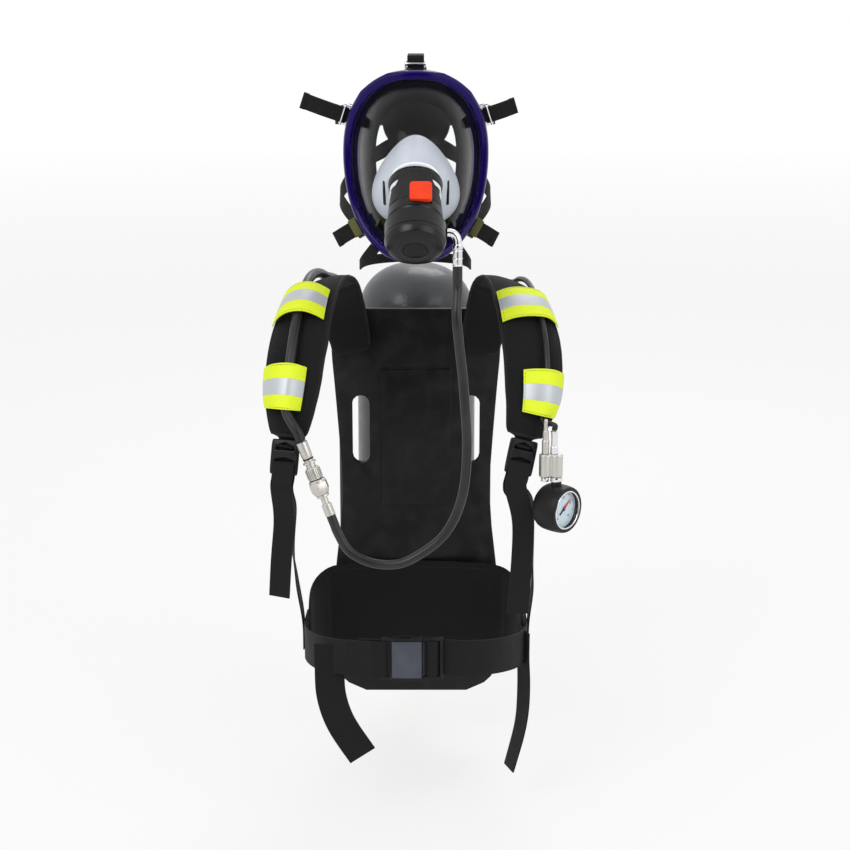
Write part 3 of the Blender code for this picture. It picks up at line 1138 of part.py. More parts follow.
def build_cylinder():
    """Composite cylinder hung neck down, its valve, handwheel, reducer, nut, band and lever."""
    place = Matrix.Translation((0.0, CYLINDER_Y, 0.0))
    radius = CYLINDER_RADIUS
    turned("cylinder", "carbon", [
        (0.0, CYLINDER_TOP), (0.45 * radius, CYLINDER_TOP - 0.005), (0.75 * radius, CYLINDER_TOP - 0.020),
        (0.93 * radius, CYLINDER_TOP - 0.042), (radius, CYLINDER_TOP - 0.070), (radius, CYLINDER_SHOULDER),
        (0.92 * radius, CYLINDER_SHOULDER - 0.028), (0.70 * radius, CYLINDER_SHOULDER - 0.049),
        (0.42 * radius, CYLINDER_SHOULDER - 0.060), (NECK_RADIUS, CYLINDER_SHOULDER - 0.063),
        (NECK_RADIUS, CYLINDER_NECK), (0.0, CYLINDER_NECK)], place, steps=32)
    top = CYLINDER_NECK - GAP
    body = turned("cylinder_valve", "brass", [
        (0.0, top), (VALVE_BODY_RADIUS, top), (VALVE_BODY_RADIUS, top - VALVE_BODY_TALL + 0.006),
        (VALVE_BODY_RADIUS - 0.006, top - VALVE_BODY_TALL), (0.0, top - VALVE_BODY_TALL)], place)
    outlet = turned("valve_outlet", "brass", [
        (0.0, 0.0), (OUTLET_RADIUS, 0.0), (OUTLET_RADIUS, OUTLET_REACH), (0.0, OUTLET_REACH)],
        axis_frame(Vector((0.0, CYLINDER_Y, OUTLET_Z)), Vector((0.0, -1.0, 0.0))), steps=16)
    combine(body, outlet, "UNION")
    wheel_z = top - VALVE_BODY_TALL * 0.70
    stem = turned("valve_stem", "brass", [
        (0.0, 0.0), (0.009, 0.0), (0.009, HANDWHEEL_AT - 0.012), (0.006, HANDWHEEL_AT - 0.012),
        (0.006, HANDWHEEL_AT - GAP), (0.0, HANDWHEEL_AT - GAP)],
        axis_frame(Vector((0.0, CYLINDER_Y, wheel_z)), Vector((-1.0, 0.0, 0.0))), steps=16)
    combine(body, stem, "UNION")
    lobes = []
    for step in range(36):
        turn = math.tau * step / 36
        reach = HANDWHEEL_RADIUS - 0.0022 * (1.0 + math.cos(6 * turn)) / 2
        lobes.append((reach * math.cos(turn), reach * math.sin(turn)))
    wheel = extruded("valve_handwheel", "moulded_black", lobes, HANDWHEEL_THICK,
                     axis_frame(Vector((-HANDWHEEL_AT, CYLINDER_Y, wheel_z)), Vector((-1.0, 0.0, 0.0))))
    soften(wheel, 0.0025)
    rear = PLATE_FRONT + PLATE_THICK
    turned("reducer", "chrome", [
        (0.0, GAP), (REDUCER_RADIUS, GAP), (REDUCER_RADIUS, REDUCER_LENGTH - 0.003),
        (REDUCER_RADIUS - 0.004, REDUCER_LENGTH), (0.010, REDUCER_LENGTH), (0.010, REDUCER_LENGTH + 0.008),
        (0.0, REDUCER_LENGTH + 0.008)],
        axis_frame(Vector((0.0, rear, OUTLET_Z)), Vector((0.0, 1.0, 0.0))))
    nut_start = rear + REDUCER_LENGTH + GAP * 2
    nut_end = CYLINDER_Y - OUTLET_REACH + 0.009
    turned("reducer_nut", "moulded_black", [
        (0.010 + GAP, 0.0), (NUT_RADIUS, 0.0), (NUT_RADIUS, nut_end - nut_start - 0.002),
        (NUT_RADIUS - 0.002, nut_end - nut_start), (OUTLET_RADIUS + GAP, nut_end - nut_start),
        (OUTLET_RADIUS + GAP, 0.0086), (0.010 + GAP, 0.0086)],
        axis_frame(Vector((0.0, nut_start, OUTLET_Z)), Vector((0.0, 1.0, 0.0))), ring=True)
    build_band(rear)


def build_band(rear):
    """Cylinder band from the plate's sides round the cylinder, with its cam lever."""
    reach = CYLINDER_RADIUS + BAND_THICK / 2 + 0.0006
    upright = Vector((0.0, 0.0, 1.0))
    foot = Vector((reach, rear + GAP, BAND_Z))
    route = [foot, Vector((reach, (rear + CYLINDER_Y) / 2, BAND_Z))]
    for step in range(17):
        turn = math.pi * step / 16
        route.append(Vector((reach * math.cos(turn), CYLINDER_Y + reach * math.sin(turn), BAND_Z)))
    route += [Vector((-reach, (rear + CYLINDER_Y) / 2, BAND_Z)), Vector((-reach, rear + GAP, BAND_Z))]
    ribbon("cylinder_band", "webbing", [(point, upright) for point in route], BAND_TALL, BAND_THICK)
    inner = reach + BAND_THICK / 2 + GAP
    first = math.radians(78)
    sweep = LEVER_LENGTH / inner
    pivot = Vector((inner * math.cos(first), CYLINDER_Y + inner * math.sin(first), BAND_Z))
    rings = []
    for step in range(9):
        turn = first + sweep * step / 8
        thick = LEVER_THICK * (1.0 if step < 2 else 0.6)
        low, high = -BAND_TALL * 0.42, BAND_TALL * 0.42
        near = Vector((inner * math.cos(turn), CYLINDER_Y + inner * math.sin(turn), BAND_Z)) - pivot
        far = Vector(((inner + thick) * math.cos(turn), CYLINDER_Y + (inner + thick) * math.sin(turn),
                      BAND_Z)) - pivot
        rings.append([near + upright * low, far + upright * low, far + upright * high, near + upright * high])
    loft("band_lever", "brass", rings, frame=Matrix.Translation(pivot))


def main():
    """Build the whole air pack in an empty scene."""
    for old in list(bpy.data.objects):
        bpy.data.objects.remove(old, do_unlink=True)
    build_mask()
    ferrule_end = build_demand_valve()
    build_head_harness()
    plug_axis = build_coupling()
    build_demand_hose(ferrule_end, plug_axis)
    build_shoulders()
    build_back_hoses()
    build_gauge()
    build_belt()
    build_back_plate()
    build_cylinder()


main()
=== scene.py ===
"""Looks of the breathing air pack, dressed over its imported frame.

Metres, +Z up. The wearer faces -Y. Right is the wearer's right, at -X, and left is at +X.
"""
from __future__ import annotations

import json
import logging
import math
from dataclasses import dataclass, field
from enum import Enum

import bmesh
import bpy
import numpy as np
from mathutils import Matrix, Vector
from mathutils.kdtree import KDTree

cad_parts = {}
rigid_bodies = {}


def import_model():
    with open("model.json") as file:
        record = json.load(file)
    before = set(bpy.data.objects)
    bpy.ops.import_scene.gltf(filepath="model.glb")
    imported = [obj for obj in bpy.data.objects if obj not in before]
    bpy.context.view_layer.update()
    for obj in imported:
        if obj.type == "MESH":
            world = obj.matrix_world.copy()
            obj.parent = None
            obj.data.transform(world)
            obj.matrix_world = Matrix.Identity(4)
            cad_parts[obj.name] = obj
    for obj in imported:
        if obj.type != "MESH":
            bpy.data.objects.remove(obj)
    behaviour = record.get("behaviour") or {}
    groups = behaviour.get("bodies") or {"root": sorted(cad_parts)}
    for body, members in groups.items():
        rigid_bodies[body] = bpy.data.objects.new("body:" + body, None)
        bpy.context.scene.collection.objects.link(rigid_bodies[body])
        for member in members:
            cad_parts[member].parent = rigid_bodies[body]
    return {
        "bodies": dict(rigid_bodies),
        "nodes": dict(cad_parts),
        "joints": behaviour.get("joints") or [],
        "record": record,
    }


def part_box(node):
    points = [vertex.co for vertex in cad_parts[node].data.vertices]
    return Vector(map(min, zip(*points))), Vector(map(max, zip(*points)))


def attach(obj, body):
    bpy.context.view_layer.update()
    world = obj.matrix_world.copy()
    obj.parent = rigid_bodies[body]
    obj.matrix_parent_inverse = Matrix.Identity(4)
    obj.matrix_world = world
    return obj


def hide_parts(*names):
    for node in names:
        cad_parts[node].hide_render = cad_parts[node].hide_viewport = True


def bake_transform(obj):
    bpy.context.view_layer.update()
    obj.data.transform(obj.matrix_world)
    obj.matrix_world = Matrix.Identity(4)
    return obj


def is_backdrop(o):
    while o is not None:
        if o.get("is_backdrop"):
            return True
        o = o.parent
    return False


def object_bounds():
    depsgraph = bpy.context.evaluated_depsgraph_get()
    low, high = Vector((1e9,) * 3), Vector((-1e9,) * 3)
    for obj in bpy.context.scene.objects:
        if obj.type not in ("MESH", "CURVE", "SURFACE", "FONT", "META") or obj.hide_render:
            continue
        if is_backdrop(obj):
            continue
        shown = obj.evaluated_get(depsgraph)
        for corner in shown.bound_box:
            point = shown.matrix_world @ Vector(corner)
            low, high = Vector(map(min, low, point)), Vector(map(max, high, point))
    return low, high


LOG = logging.getLogger("air_pack")
Colour = tuple[float, float, float]
Sizes = tuple[float, float, float]
Piece = bpy.types.Object
Socket = bpy.types.NodeSocket
Row = list[tuple[Vector, Vector]]


class Side(Enum):
    """The wearer's sides, with their sign along X."""

    RIGHT = -1
    LEFT = 1

    @property
    def label(self) -> str:
        """Word used in node names."""
        return self.name.lower()


class Surface(Enum):
    """Kinds of surface, each with its own node group."""

    WEBBING = "woven webbing"
    CLOTH = "pad cloth"
    MOULDED = "moulded grain"
    RUBBER = "rubber skin"
    PLATED = "plated metal"
    LACQUER = "lacquer"


class Graph:
    """Short way to lay out shader nodes in one tree."""

    def __init__(self, tree: bpy.types.NodeTree) -> None:
        """Keep the tree to draw in."""
        self.tree = tree

    def node(self, kind: str, **settings: object) -> bpy.types.Node:
        """Add one node.

        Args:
            kind: Blender's node type, without the ShaderNode prefix.
            settings: Properties to set on the node.

        Returns:
            The new node.
        """
        made = self.tree.nodes.new("ShaderNode" + kind)
        for name, value in settings.items():
            setattr(made, name, value)
        return made

    def feed(self, socket: Socket, value: object) -> None:
        """Link a socket's source, or set its plain value.

        Args:
            socket: The socket to feed.
            value: A source socket, or a plain value.
        """
        if isinstance(value, Socket):
            self.tree.links.new(value, socket)
        else:
            socket.default_value = value

    def settle(self, node: bpy.types.Node, values: dict[str, object]) -> None:
        """Feed several inputs of a node, by name."""
        for name, value in values.items():
            self.feed(node.inputs[name], value)

    def math(self, operation: str, first: object, second: object = 0.0,
             third: object = 0.0) -> Socket:
        """Add a Math node.

        Args:
            operation: Blender's name for the operation.
            first: First number or socket.
            second: Second number or socket.
            third: Third number or socket.

        Returns:
            The result's socket.
        """
        made = self.node("Math", operation=operation)
        for socket, value in zip(made.inputs, (first, second, third)):
            self.feed(socket, value)
        return made.outputs[0]

    def wave(self, value: object, pitch: object) -> Socket:
        """Sine from 0 to 1 with a pitch in metres."""
        turns = self.math("MULTIPLY", self.math("DIVIDE", value, pitch), math.tau)
        return self.math("MULTIPLY_ADD", self.math("SINE", turns), 0.5, 0.5)

    def noise(self, vector: object, scale: float, detail: float = 3.0) -> Socket:
        """Noise from 0 to 1 at a scale in cells per metre.

        Args:
            vector: Where the noise lies.
            scale: Cells per metre.
            detail: Depth of its detail.

        Returns:
            The noise's socket.
        """
        made = self.node("TexNoise")
        self.settle(made, {"Vector": vector, "Scale": scale, "Detail": detail})
        return made.outputs["Fac"]

    def grain(self, kind: str, vector: object, pitch: object, **settings: object) -> bpy.types.Node:
        """Texture node whose cells are one pitch wide.

        Args:
            kind: Blender's texture node, without the ShaderNode prefix.
            vector: Where the texture lies.
            pitch: Width of a cell in metres.
            settings: Properties to set on the node.

        Returns:
            The texture's node.
        """
        made = self.node(kind, **settings)
        self.settle(made, {"Vector": vector, "Scale": self.math("DIVIDE", 1.0, pitch)})
        return made

    def bump(self, shader: bpy.types.Node, height: object, depth: float) -> None:
        """Raise a shader's surface by a height, up to a depth in metres.

        Args:
            shader: The shader node.
            height: Socket of the height.
            depth: Height of a value of 1, in metres.
        """
        made = self.node("Bump")
        self.settle(made, {"Distance": depth, "Height": height})
        self.feed(shader.inputs["Normal"], made.outputs["Normal"])

    def spread(self, value: object, low: float, high: float, start: float = 0.0,
               end: float = 1.0) -> Socket:
        """Map a value from low..high to start..end, held at the ends.

        Args:
            value: The value to map.
            low: Low end of its range.
            high: High end of its range.
            start: Result at the low end.
            end: Result at the high end.

        Returns:
            The result's socket.
        """
        made = self.node("MapRange")
        for socket, number in zip(made.inputs, (value, low, high, start, end)):
            self.feed(socket, number)
        return made.outputs[0]

    def mix(self, factor: object, first: object, second: object) -> Socket:
        """Mix two colours.

        Args:
            factor: Share of the second colour.
            first: First colour or socket.
            second: Second colour or socket.

        Returns:
            The mixed colour's socket.
        """
        made = self.node("Mix", data_type="RGBA")
        for socket, value in zip((made.inputs[0], made.inputs[6], made.inputs[7]), (factor, first, second)):
            self.feed(socket, (*value, 1.0) if isinstance(value, tuple) and len(value) == 3 else value)
        return made.outputs[2]

    def axes(self, vector: object) -> tuple[Socket, ...]:
        """Split a vector into its three numbers.

        Args:
            vector: The vector's socket.

        Returns:
            Sockets of X, Y and Z.
        """
        made = self.node("SeparateXYZ")
        self.feed(made.inputs[0], vector)
        return tuple(made.outputs)


class SurfaceGroups:
    """Node groups of the surfaces: each gives Shade, Height and Gloss from a place and a pitch."""

    def __init__(self) -> None:
        """Start with no group made."""
        self.made: dict[Surface, bpy.types.NodeTree] = {}

    def get(self, surface: Surface) -> bpy.types.NodeTree:
        """Return a surface's group, built the first time that it is asked for.

        Args:
            surface: The kind of surface.

        Returns:
            The node group.
        """
        if surface not in self.made:
            tree = bpy.data.node_groups.new(surface.value, "ShaderNodeTree")
            tree.interface.new_socket("Place", in_out="INPUT", socket_type="NodeSocketVector")
            tree.interface.new_socket("Pitch", in_out="INPUT", socket_type="NodeSocketFloat")
            for name in ("Shade", "Height", "Gloss"):
                tree.interface.new_socket(name, in_out="OUTPUT", socket_type="NodeSocketFloat")
            graph = Graph(tree)
            source = graph.tree.nodes.new("NodeGroupInput")
            drain = graph.tree.nodes.new("NodeGroupOutput")
            patterns = {
                Surface.WEBBING: self.webbing, Surface.CLOTH: self.cloth, Surface.MOULDED: self.moulded,
                Surface.RUBBER: self.rubber, Surface.PLATED: self.plated, Surface.LACQUER: self.lacquer}
            values = patterns[surface](graph, source.outputs["Place"], source.outputs["Pitch"])
            graph.settle(drain, dict(zip(("Shade", "Height", "Gloss"), values)))
            self.made[surface] = tree
        return self.made[surface]

    def effect(self, graph: Graph, surface: Surface, place: Socket,
               pitch: float) -> bpy.types.Node:
        """Add a surface's group to a material.

        Args:
            graph: The material's graph.
            surface: The kind of surface.
            place: Where the pattern lies.
            pitch: Its pitch in metres.

        Returns:
            The group's node.
        """
        made = graph.node("Group", node_tree=self.get(surface))
        graph.settle(made, {"Place": place, "Pitch": pitch})
        return made

    @staticmethod
    def webbing(graph: Graph, place: object, pitch: object) -> tuple:
        """Chevron ribs along a strap, with a fine weft across it.

        Args:
            graph: The group's graph.
            place: Where the pattern lies.
            pitch: Its pitch in metres.

        Returns:
            The shade, the height and the gloss.
        """
        along, across, _ = graph.axes(place)
        row = graph.math("PINGPONG", graph.math("DIVIDE", across, graph.math("MULTIPLY", pitch, 3.0)), 1.0)
        slant = graph.math("MULTIPLY_ADD", graph.math("MULTIPLY", row, pitch), 1.5, along)
        rib = graph.wave(slant, pitch)
        weft = graph.wave(across, graph.math("MULTIPLY", pitch, 0.75))
        height = graph.math("MULTIPLY_ADD", weft, 0.35, graph.math("MULTIPLY", rib, 0.65))
        dust = graph.noise(place, 45.0)
        shade = graph.math("MULTIPLY_ADD", dust, 0.6, graph.math("MULTIPLY", height, 0.4))
        return shade, height, dust

    @staticmethod
    def cloth(graph: Graph, place: object, pitch: object) -> tuple:
        """Plain basket weave laid over all sides, with slow creases.

        Args:
            graph: The group's graph.
            place: Where the pattern lies.
            pitch: Its pitch in metres.

        Returns:
            The shade, the height and the gloss.
        """
        east, south, up = graph.axes(place)
        first = graph.wave(graph.math("MULTIPLY_ADD", south, 0.7, east), pitch)
        second = graph.wave(graph.math("MULTIPLY_ADD", south, -0.6, up), pitch)
        over = graph.math("ABSOLUTE", graph.math("SUBTRACT", first, second))
        crease = graph.noise(place, 22.0, 2.0)
        height = graph.math("MULTIPLY_ADD", crease, 1.6, graph.math("MULTIPLY", over, 0.5))
        dust = graph.noise(place, 60.0)
        shade = graph.math("MULTIPLY_ADD", dust, 0.55, graph.math("MULTIPLY", over, 0.45))
        return shade, height, dust

    @staticmethod
    def moulded(graph: Graph, place: object, pitch: object) -> tuple:
        """Spark-eroded grain of a mould, with rubbed patches.

        Args:
            graph: The group's graph.
            place: Where the pattern lies.
            pitch: Its pitch in metres.

        Returns:
            The shade, the height and the gloss.
        """
        grain = graph.grain("TexVoronoi", place, pitch, feature="SMOOTH_F1")
        rub = graph.noise(place, 38.0)
        return graph.spread(rub, 0.45, 0.8), grain.outputs["Distance"], rub

    @staticmethod
    def rubber(graph: Graph, place: object, pitch: object) -> tuple:
        """Smooth rubber with bloom and very fine relief.

        Args:
            graph: The group's graph.
            place: Where the pattern lies.
            pitch: Its pitch in metres.

        Returns:
            The shade, the height and the gloss.
        """
        fine = graph.grain("TexNoise", place, pitch)
        bloom = graph.noise(place, 26.0, 4.0)
        return graph.spread(bloom, 0.4, 0.75), fine.outputs["Fac"], bloom

    @staticmethod
    def plated(graph: Graph, place: object, pitch: object) -> tuple:
        """Bright plating with fine turning marks; its smear noise varies the gloss and darkens the colour in
        patches, partly handling smears and partly painted dark reflection.

        Args:
            graph: The group's graph.
            place: Where the pattern lies.
            pitch: Its pitch in metres.

        Returns:
            The shade, the height and the gloss.
        """
        smear = graph.noise(place, 130.0, 4.0)
        _, _, up = graph.axes(place)
        marks = graph.wave(up, pitch)
        # Shade mixes in the darker tone where the smear noise is high: partly handling smears, partly painted
        # dark reflection.
        return graph.spread(smear, 0.5, 0.8), graph.math("MULTIPLY_ADD", smear, 0.4, marks), smear

    @staticmethod
    def lacquer(graph: Graph, place: object, pitch: object) -> tuple:
        """Glossy colour with faint depth and orange peel."""
        peel = graph.grain("TexNoise", place, pitch)
        return graph.noise(place, 14.0), peel.outputs["Fac"], graph.noise(place, 90.0)


@dataclass(frozen=True)
class AnyFinish:
    """Base of the finishes: a name, and a material that is made once."""

    name: str

    def material(self, groups: SurfaceGroups) -> bpy.types.Material:
        """Return the material, drawn the first time that it is asked for.

        Args:
            groups: The shared surface groups.

        Returns:
            The material.
        """
        if self.name in bpy.data.materials:
            return bpy.data.materials[self.name]
        made = bpy.data.materials.new(self.name)
        made.use_nodes = True
        self.draw(Graph(made.node_tree), made.node_tree.nodes["Principled BSDF"], groups)
        return made

    def draw(self, graph: Graph, shader: bpy.types.Node, groups: SurfaceGroups) -> None:
        """Lay out the material's nodes.

        Args:
            graph: The material's graph.
            shader: Its shader node.
            groups: The shared surface groups.
        """
        raise NotImplementedError(self.name)


@dataclass(frozen=True)
class Finish(AnyFinish):
    """Closed surface: two tones that its pattern mixes, its gloss and its relief."""

    surface: Surface
    deep: Colour
    light: Colour
    rough: tuple[float, float]
    pitch: float
    relief: float
    metallic: float = 0.0
    coat: float = 0.0
    sheen: float = 0.0
    specular: float = 0.5
    coat_rough: float = 0.06
    gloss_range: tuple[float, float] = (0.25, 0.75)

    def draw(self, graph: Graph, shader: bpy.types.Node, groups: SurfaceGroups) -> None:
        """Mix the two tones, the gloss and the relief by the surface's pattern.

        Args:
            graph: The material's graph.
            shader: Its shader node.
            groups: The shared surface groups.
        """
        source = "UV" if self.surface is Surface.WEBBING else "Object"
        effect = groups.effect(graph, self.surface, graph.node("TexCoord").outputs[source], self.pitch)
        graph.bump(shader, effect.outputs["Height"], self.relief)
        graph.settle(shader, {
            "Base Color": graph.mix(effect.outputs["Shade"], self.deep, self.light),
            "Roughness": graph.spread(effect.outputs["Gloss"], *self.gloss_range, *self.rough),
            "Metallic": self.metallic,
            "Coat Weight": self.coat,
            "Coat Roughness": self.coat_rough,
            "Sheen Weight": self.sheen,
            "Specular IOR Level": self.specular})


RIM_LACQUER = Finish("rim lacquer", Surface.LACQUER, (0.006, 0.0012, 0.074), (0.011, 0.0028, 0.110),
                     (0.12, 0.20), 0.004, 0.00004, coat=0.05, specular=0.13)
SEAL_RUBBER = Finish("seal rubber", Surface.RUBBER, (0.005, 0.005, 0.006), (0.014, 0.014, 0.015),
                     (0.46, 0.64), 0.0007, 0.00003, specular=0.10)
OLIVE_RUBBER = Finish("olive rubber", Surface.RUBBER, (0.075, 0.075, 0.016), (0.135, 0.135, 0.040),
                      (0.45, 0.62), 0.0008, 0.00004, specular=0.25)
HOSE_RUBBER = Finish("hose rubber", Surface.RUBBER, (0.013, 0.013, 0.014), (0.028, 0.028, 0.029),
                     (0.30, 0.42), 0.0009, 0.00004, specular=0.36)
BOOT_RUBBER = Finish("boot rubber", Surface.RUBBER, (0.005, 0.005, 0.006), (0.013, 0.013, 0.014),
                     (0.38, 0.56), 0.0008, 0.00004, specular=0.25)
CUP_SILICONE = Finish("cup silicone", Surface.RUBBER, (0.62, 0.65, 0.72), (0.72, 0.75, 0.82),
                      (0.34, 0.48), 0.0015, 0.00003, specular=0.35)
VALVE_PLASTIC = Finish("valve plastic", Surface.MOULDED, (0.006, 0.006, 0.007), (0.014, 0.014, 0.015),
                       (0.24, 0.36), 0.0006, 0.00002, specular=0.30)
FRAME_PLASTIC = Finish("frame plastic", Surface.MOULDED, (0.005, 0.005, 0.006), (0.015, 0.015, 0.016),
                       (0.34, 0.52), 0.0008, 0.00005, specular=0.25)
BUCKLE_PLASTIC = Finish("buckle plastic", Surface.MOULDED, (0.058, 0.062, 0.082), (0.087, 0.093, 0.117),
                        (0.40, 0.55), 0.0006, 0.00004, specular=0.30)
BUTTON_RED = Finish("button red", Surface.MOULDED, (0.86, 0.042, 0.006), (0.95, 0.062, 0.010),
                    (0.28, 0.42), 0.0008, 0.00003, specular=0.30)
# Plated finishes: the second tone is darker than the first; its patches are partly handling smears, partly
# painted dark reflection.
CHROME = Finish("chrome", Surface.PLATED, (0.62, 0.62, 0.64), (0.42, 0.42, 0.44), (0.06, 0.16),
                0.0009, 0.000006, metallic=1.0)
NICKEL = Finish("nickel", Surface.PLATED, (0.58, 0.545, 0.47), (0.34, 0.315, 0.26), (0.10, 0.24),
                0.0008, 0.00001, metallic=1.0)
BRASS = Finish("valve brass", Surface.PLATED, (0.66, 0.50, 0.24), (0.45, 0.33, 0.15), (0.20, 0.40),
               0.0010, 0.00002, metallic=1.0)
WEBBING = Finish("harness webbing", Surface.WEBBING, (0.004, 0.004, 0.005), (0.017, 0.017, 0.018),
                 (0.62, 0.85), 0.0017, 0.00020, sheen=0.06, specular=0.14)
STRAP_ELASTIC = Finish("strap elastic", Surface.WEBBING, (0.004, 0.004, 0.004), (0.016, 0.016, 0.015),
                       (0.60, 0.80), 0.0012, 0.00014, sheen=0.06, specular=0.14)
PAD_CLOTH = Finish("pad cloth", Surface.CLOTH, (0.004, 0.004, 0.005), (0.017, 0.017, 0.018),
                   (0.70, 0.92), 0.0016, 0.00022, sheen=0.08, specular=0.12)
BINDING = Finish("edge binding", Surface.CLOTH, (0.006, 0.006, 0.007), (0.020, 0.020, 0.021),
                 (0.55, 0.75), 0.0009, 0.00010, sheen=0.06, specular=0.16)
THREAD = Finish("sewing thread", Surface.CLOTH, (0.018, 0.018, 0.020), (0.045, 0.045, 0.048),
                (0.50, 0.70), 0.0005, 0.00004, specular=0.2)
CYLINDER_PAINT = Finish("cylinder paint", Surface.LACQUER, (0.055, 0.058, 0.064), (0.075, 0.078, 0.085),
                        (0.30, 0.44), 0.003, 0.00005, coat=0.15, specular=0.35)
NEEDLE_RED = Finish("needle red", Surface.LACQUER, (0.62, 0.02, 0.012), (0.72, 0.03, 0.02),
                    (0.35, 0.45), 0.002, 0.00001)
NEEDLE_BLACK = Finish("needle black", Surface.LACQUER, (0.010, 0.010, 0.012), (0.02, 0.02, 0.022),
                      (0.35, 0.45), 0.002, 0.00001)
DIAL_FACE = Finish("dial face", Surface.LACQUER, (0.62, 0.74, 0.82), (0.72, 0.82, 0.88), (0.45, 0.60),
                   0.002, 0.00001)


@dataclass(frozen=True)
class ClearFinish(AnyFinish):
    """Clear moulded sheet with faint smears in its gloss, for the visor and the gauge's lens."""

    tint: Colour
    rough: float
    smear: float = 0.05
    smear_range: tuple[float, float] = (0.4, 0.8)
    pitch: float = 0.02
    refraction: float = 1.14
    specular: float = 0.4

    def draw(self, graph: Graph, shader: bpy.types.Node, groups: SurfaceGroups) -> None:
        """Let light through, a little bent, and vary the gloss.

        Args:
            graph: The material's graph.
            shader: Its shader node.
            groups: The shared surface groups.
        """
        effect = groups.effect(graph, Surface.LACQUER, graph.node("TexCoord").outputs["Object"], self.pitch)
        rough = (self.rough, self.rough + self.smear)
        graph.settle(shader, {
            "Roughness": graph.spread(effect.outputs["Gloss"], *self.smear_range, *rough),
            "Base Color": (*self.tint, 1.0),
            "Transmission Weight": 1.0,
            "IOR": self.refraction,
            "Specular IOR Level": self.specular})


VISOR_CLEAR = ClearFinish("visor clear", (0.96, 0.97, 0.98), 0.01)
LENS_CLEAR = ClearFinish("lens clear", (0.98, 0.99, 1.0), 0.01)


@dataclass(frozen=True)
class TapeFinish(AnyFinish):
    """Reflective tape: a silver stripe between two fluorescent ones, by the height on the tape's UV map."""

    name: str = "reflective tape"
    glow: Colour = (0.80, 0.95, 0.012)
    glow_deep: Colour = (0.62, 0.74, 0.01)
    silver: Colour = (0.55, 0.58, 0.61)
    silver_deep: Colour = (0.34, 0.36, 0.40)
    low: float = 0.325
    high: float = 0.685
    shade: float = 0.22
    rough: tuple[float, float] = (0.62, 0.40)
    metallic: float = 0.25
    weave: float = 0.0014
    relief: float = 0.00008
    stripe_relief: float = 2.0

    def draw(self, graph: Graph, shader: bpy.types.Node, groups: SurfaceGroups) -> None:
        """Lay the silver stripe over the fluorescent cloth.

        Args:
            graph: The material's graph.
            shader: Its shader node.
            groups: The shared surface groups.
        """
        place = graph.node("TexCoord")
        _, level, _ = graph.axes(place.outputs["UV"])
        effect = groups.effect(graph, Surface.CLOTH, place.outputs["Object"], self.weave)
        lower = graph.math("GREATER_THAN", level, self.low)
        stripe = graph.math("MULTIPLY", lower, graph.math("LESS_THAN", level, self.high))
        shaded = graph.spread(effect.outputs["Shade"], 0.0, 1.0, 0.0, self.shade)
        glow = graph.mix(shaded, self.glow, self.glow_deep)
        silver = graph.mix(shaded, self.silver, self.silver_deep)
        raised = graph.math("MULTIPLY_ADD", stripe, self.stripe_relief, effect.outputs["Height"])
        graph.bump(shader, raised, self.relief)
        graph.settle(shader, {
            "Base Color": graph.mix(stripe, glow, silver),
            "Roughness": graph.spread(stripe, 0.0, 1.0, *self.rough),
            "Metallic": graph.math("MULTIPLY", stripe, self.metallic)})


REFLECTIVE_TAPE = TapeFinish()

# Measures and settings that several pieces share, in metres and degrees
PAD_SWELL = 0.0010
PAD_PRESSURE = 4.0
PAD_FRAMES = 20
SEWN_REACH = 0.0024
MERGE_REACH = 0.000004
QUAD_ANGLES = (60.0, 75.0)
SHARP_ANGLE = 38.0
SOFT_ANGLE = 50.0
STRAP_EDGE = 0.0004
STITCH_SHARE = 0.34
STITCH_WIDE = 0.00038
STITCH_TALL = 0.00032
PATCH_STEPS = 10
PATCH_EDGE = 0.0005
FLAT_ANGLE = 0.4
RING_SECTION = 12
SMALL_RING = (0.0007, 40)
NO_LENGTH = 1e-7
ELBOW = (0.0473, -0.2651)
COUPLING_TOP = Vector((-0.128, -0.260, 0.0640))
COUPLING_END = Vector((-0.0957, -0.268, -0.0195))


def steps(low: float, high: float, count: int) -> list[float]:
    """Numbers from low to high, in a count of equal steps."""
    return [low + (high - low) * step / count for step in range(count + 1)]


def lifted(level: float) -> Matrix:
    """Move along Z."""
    return Matrix.Translation((0.0, 0.0, level))


def axes_frame(origin: Vector, *axes: Vector) -> Matrix:
    """Frame at an origin, with the given X, Y and Z axes.

    Args:
        origin: The frame's origin.
        axes: Its X, Y and Z axes.

    Returns:
        The frame.
    """
    frame = Matrix(axes).transposed().to_4x4()
    frame.translation = origin
    return frame


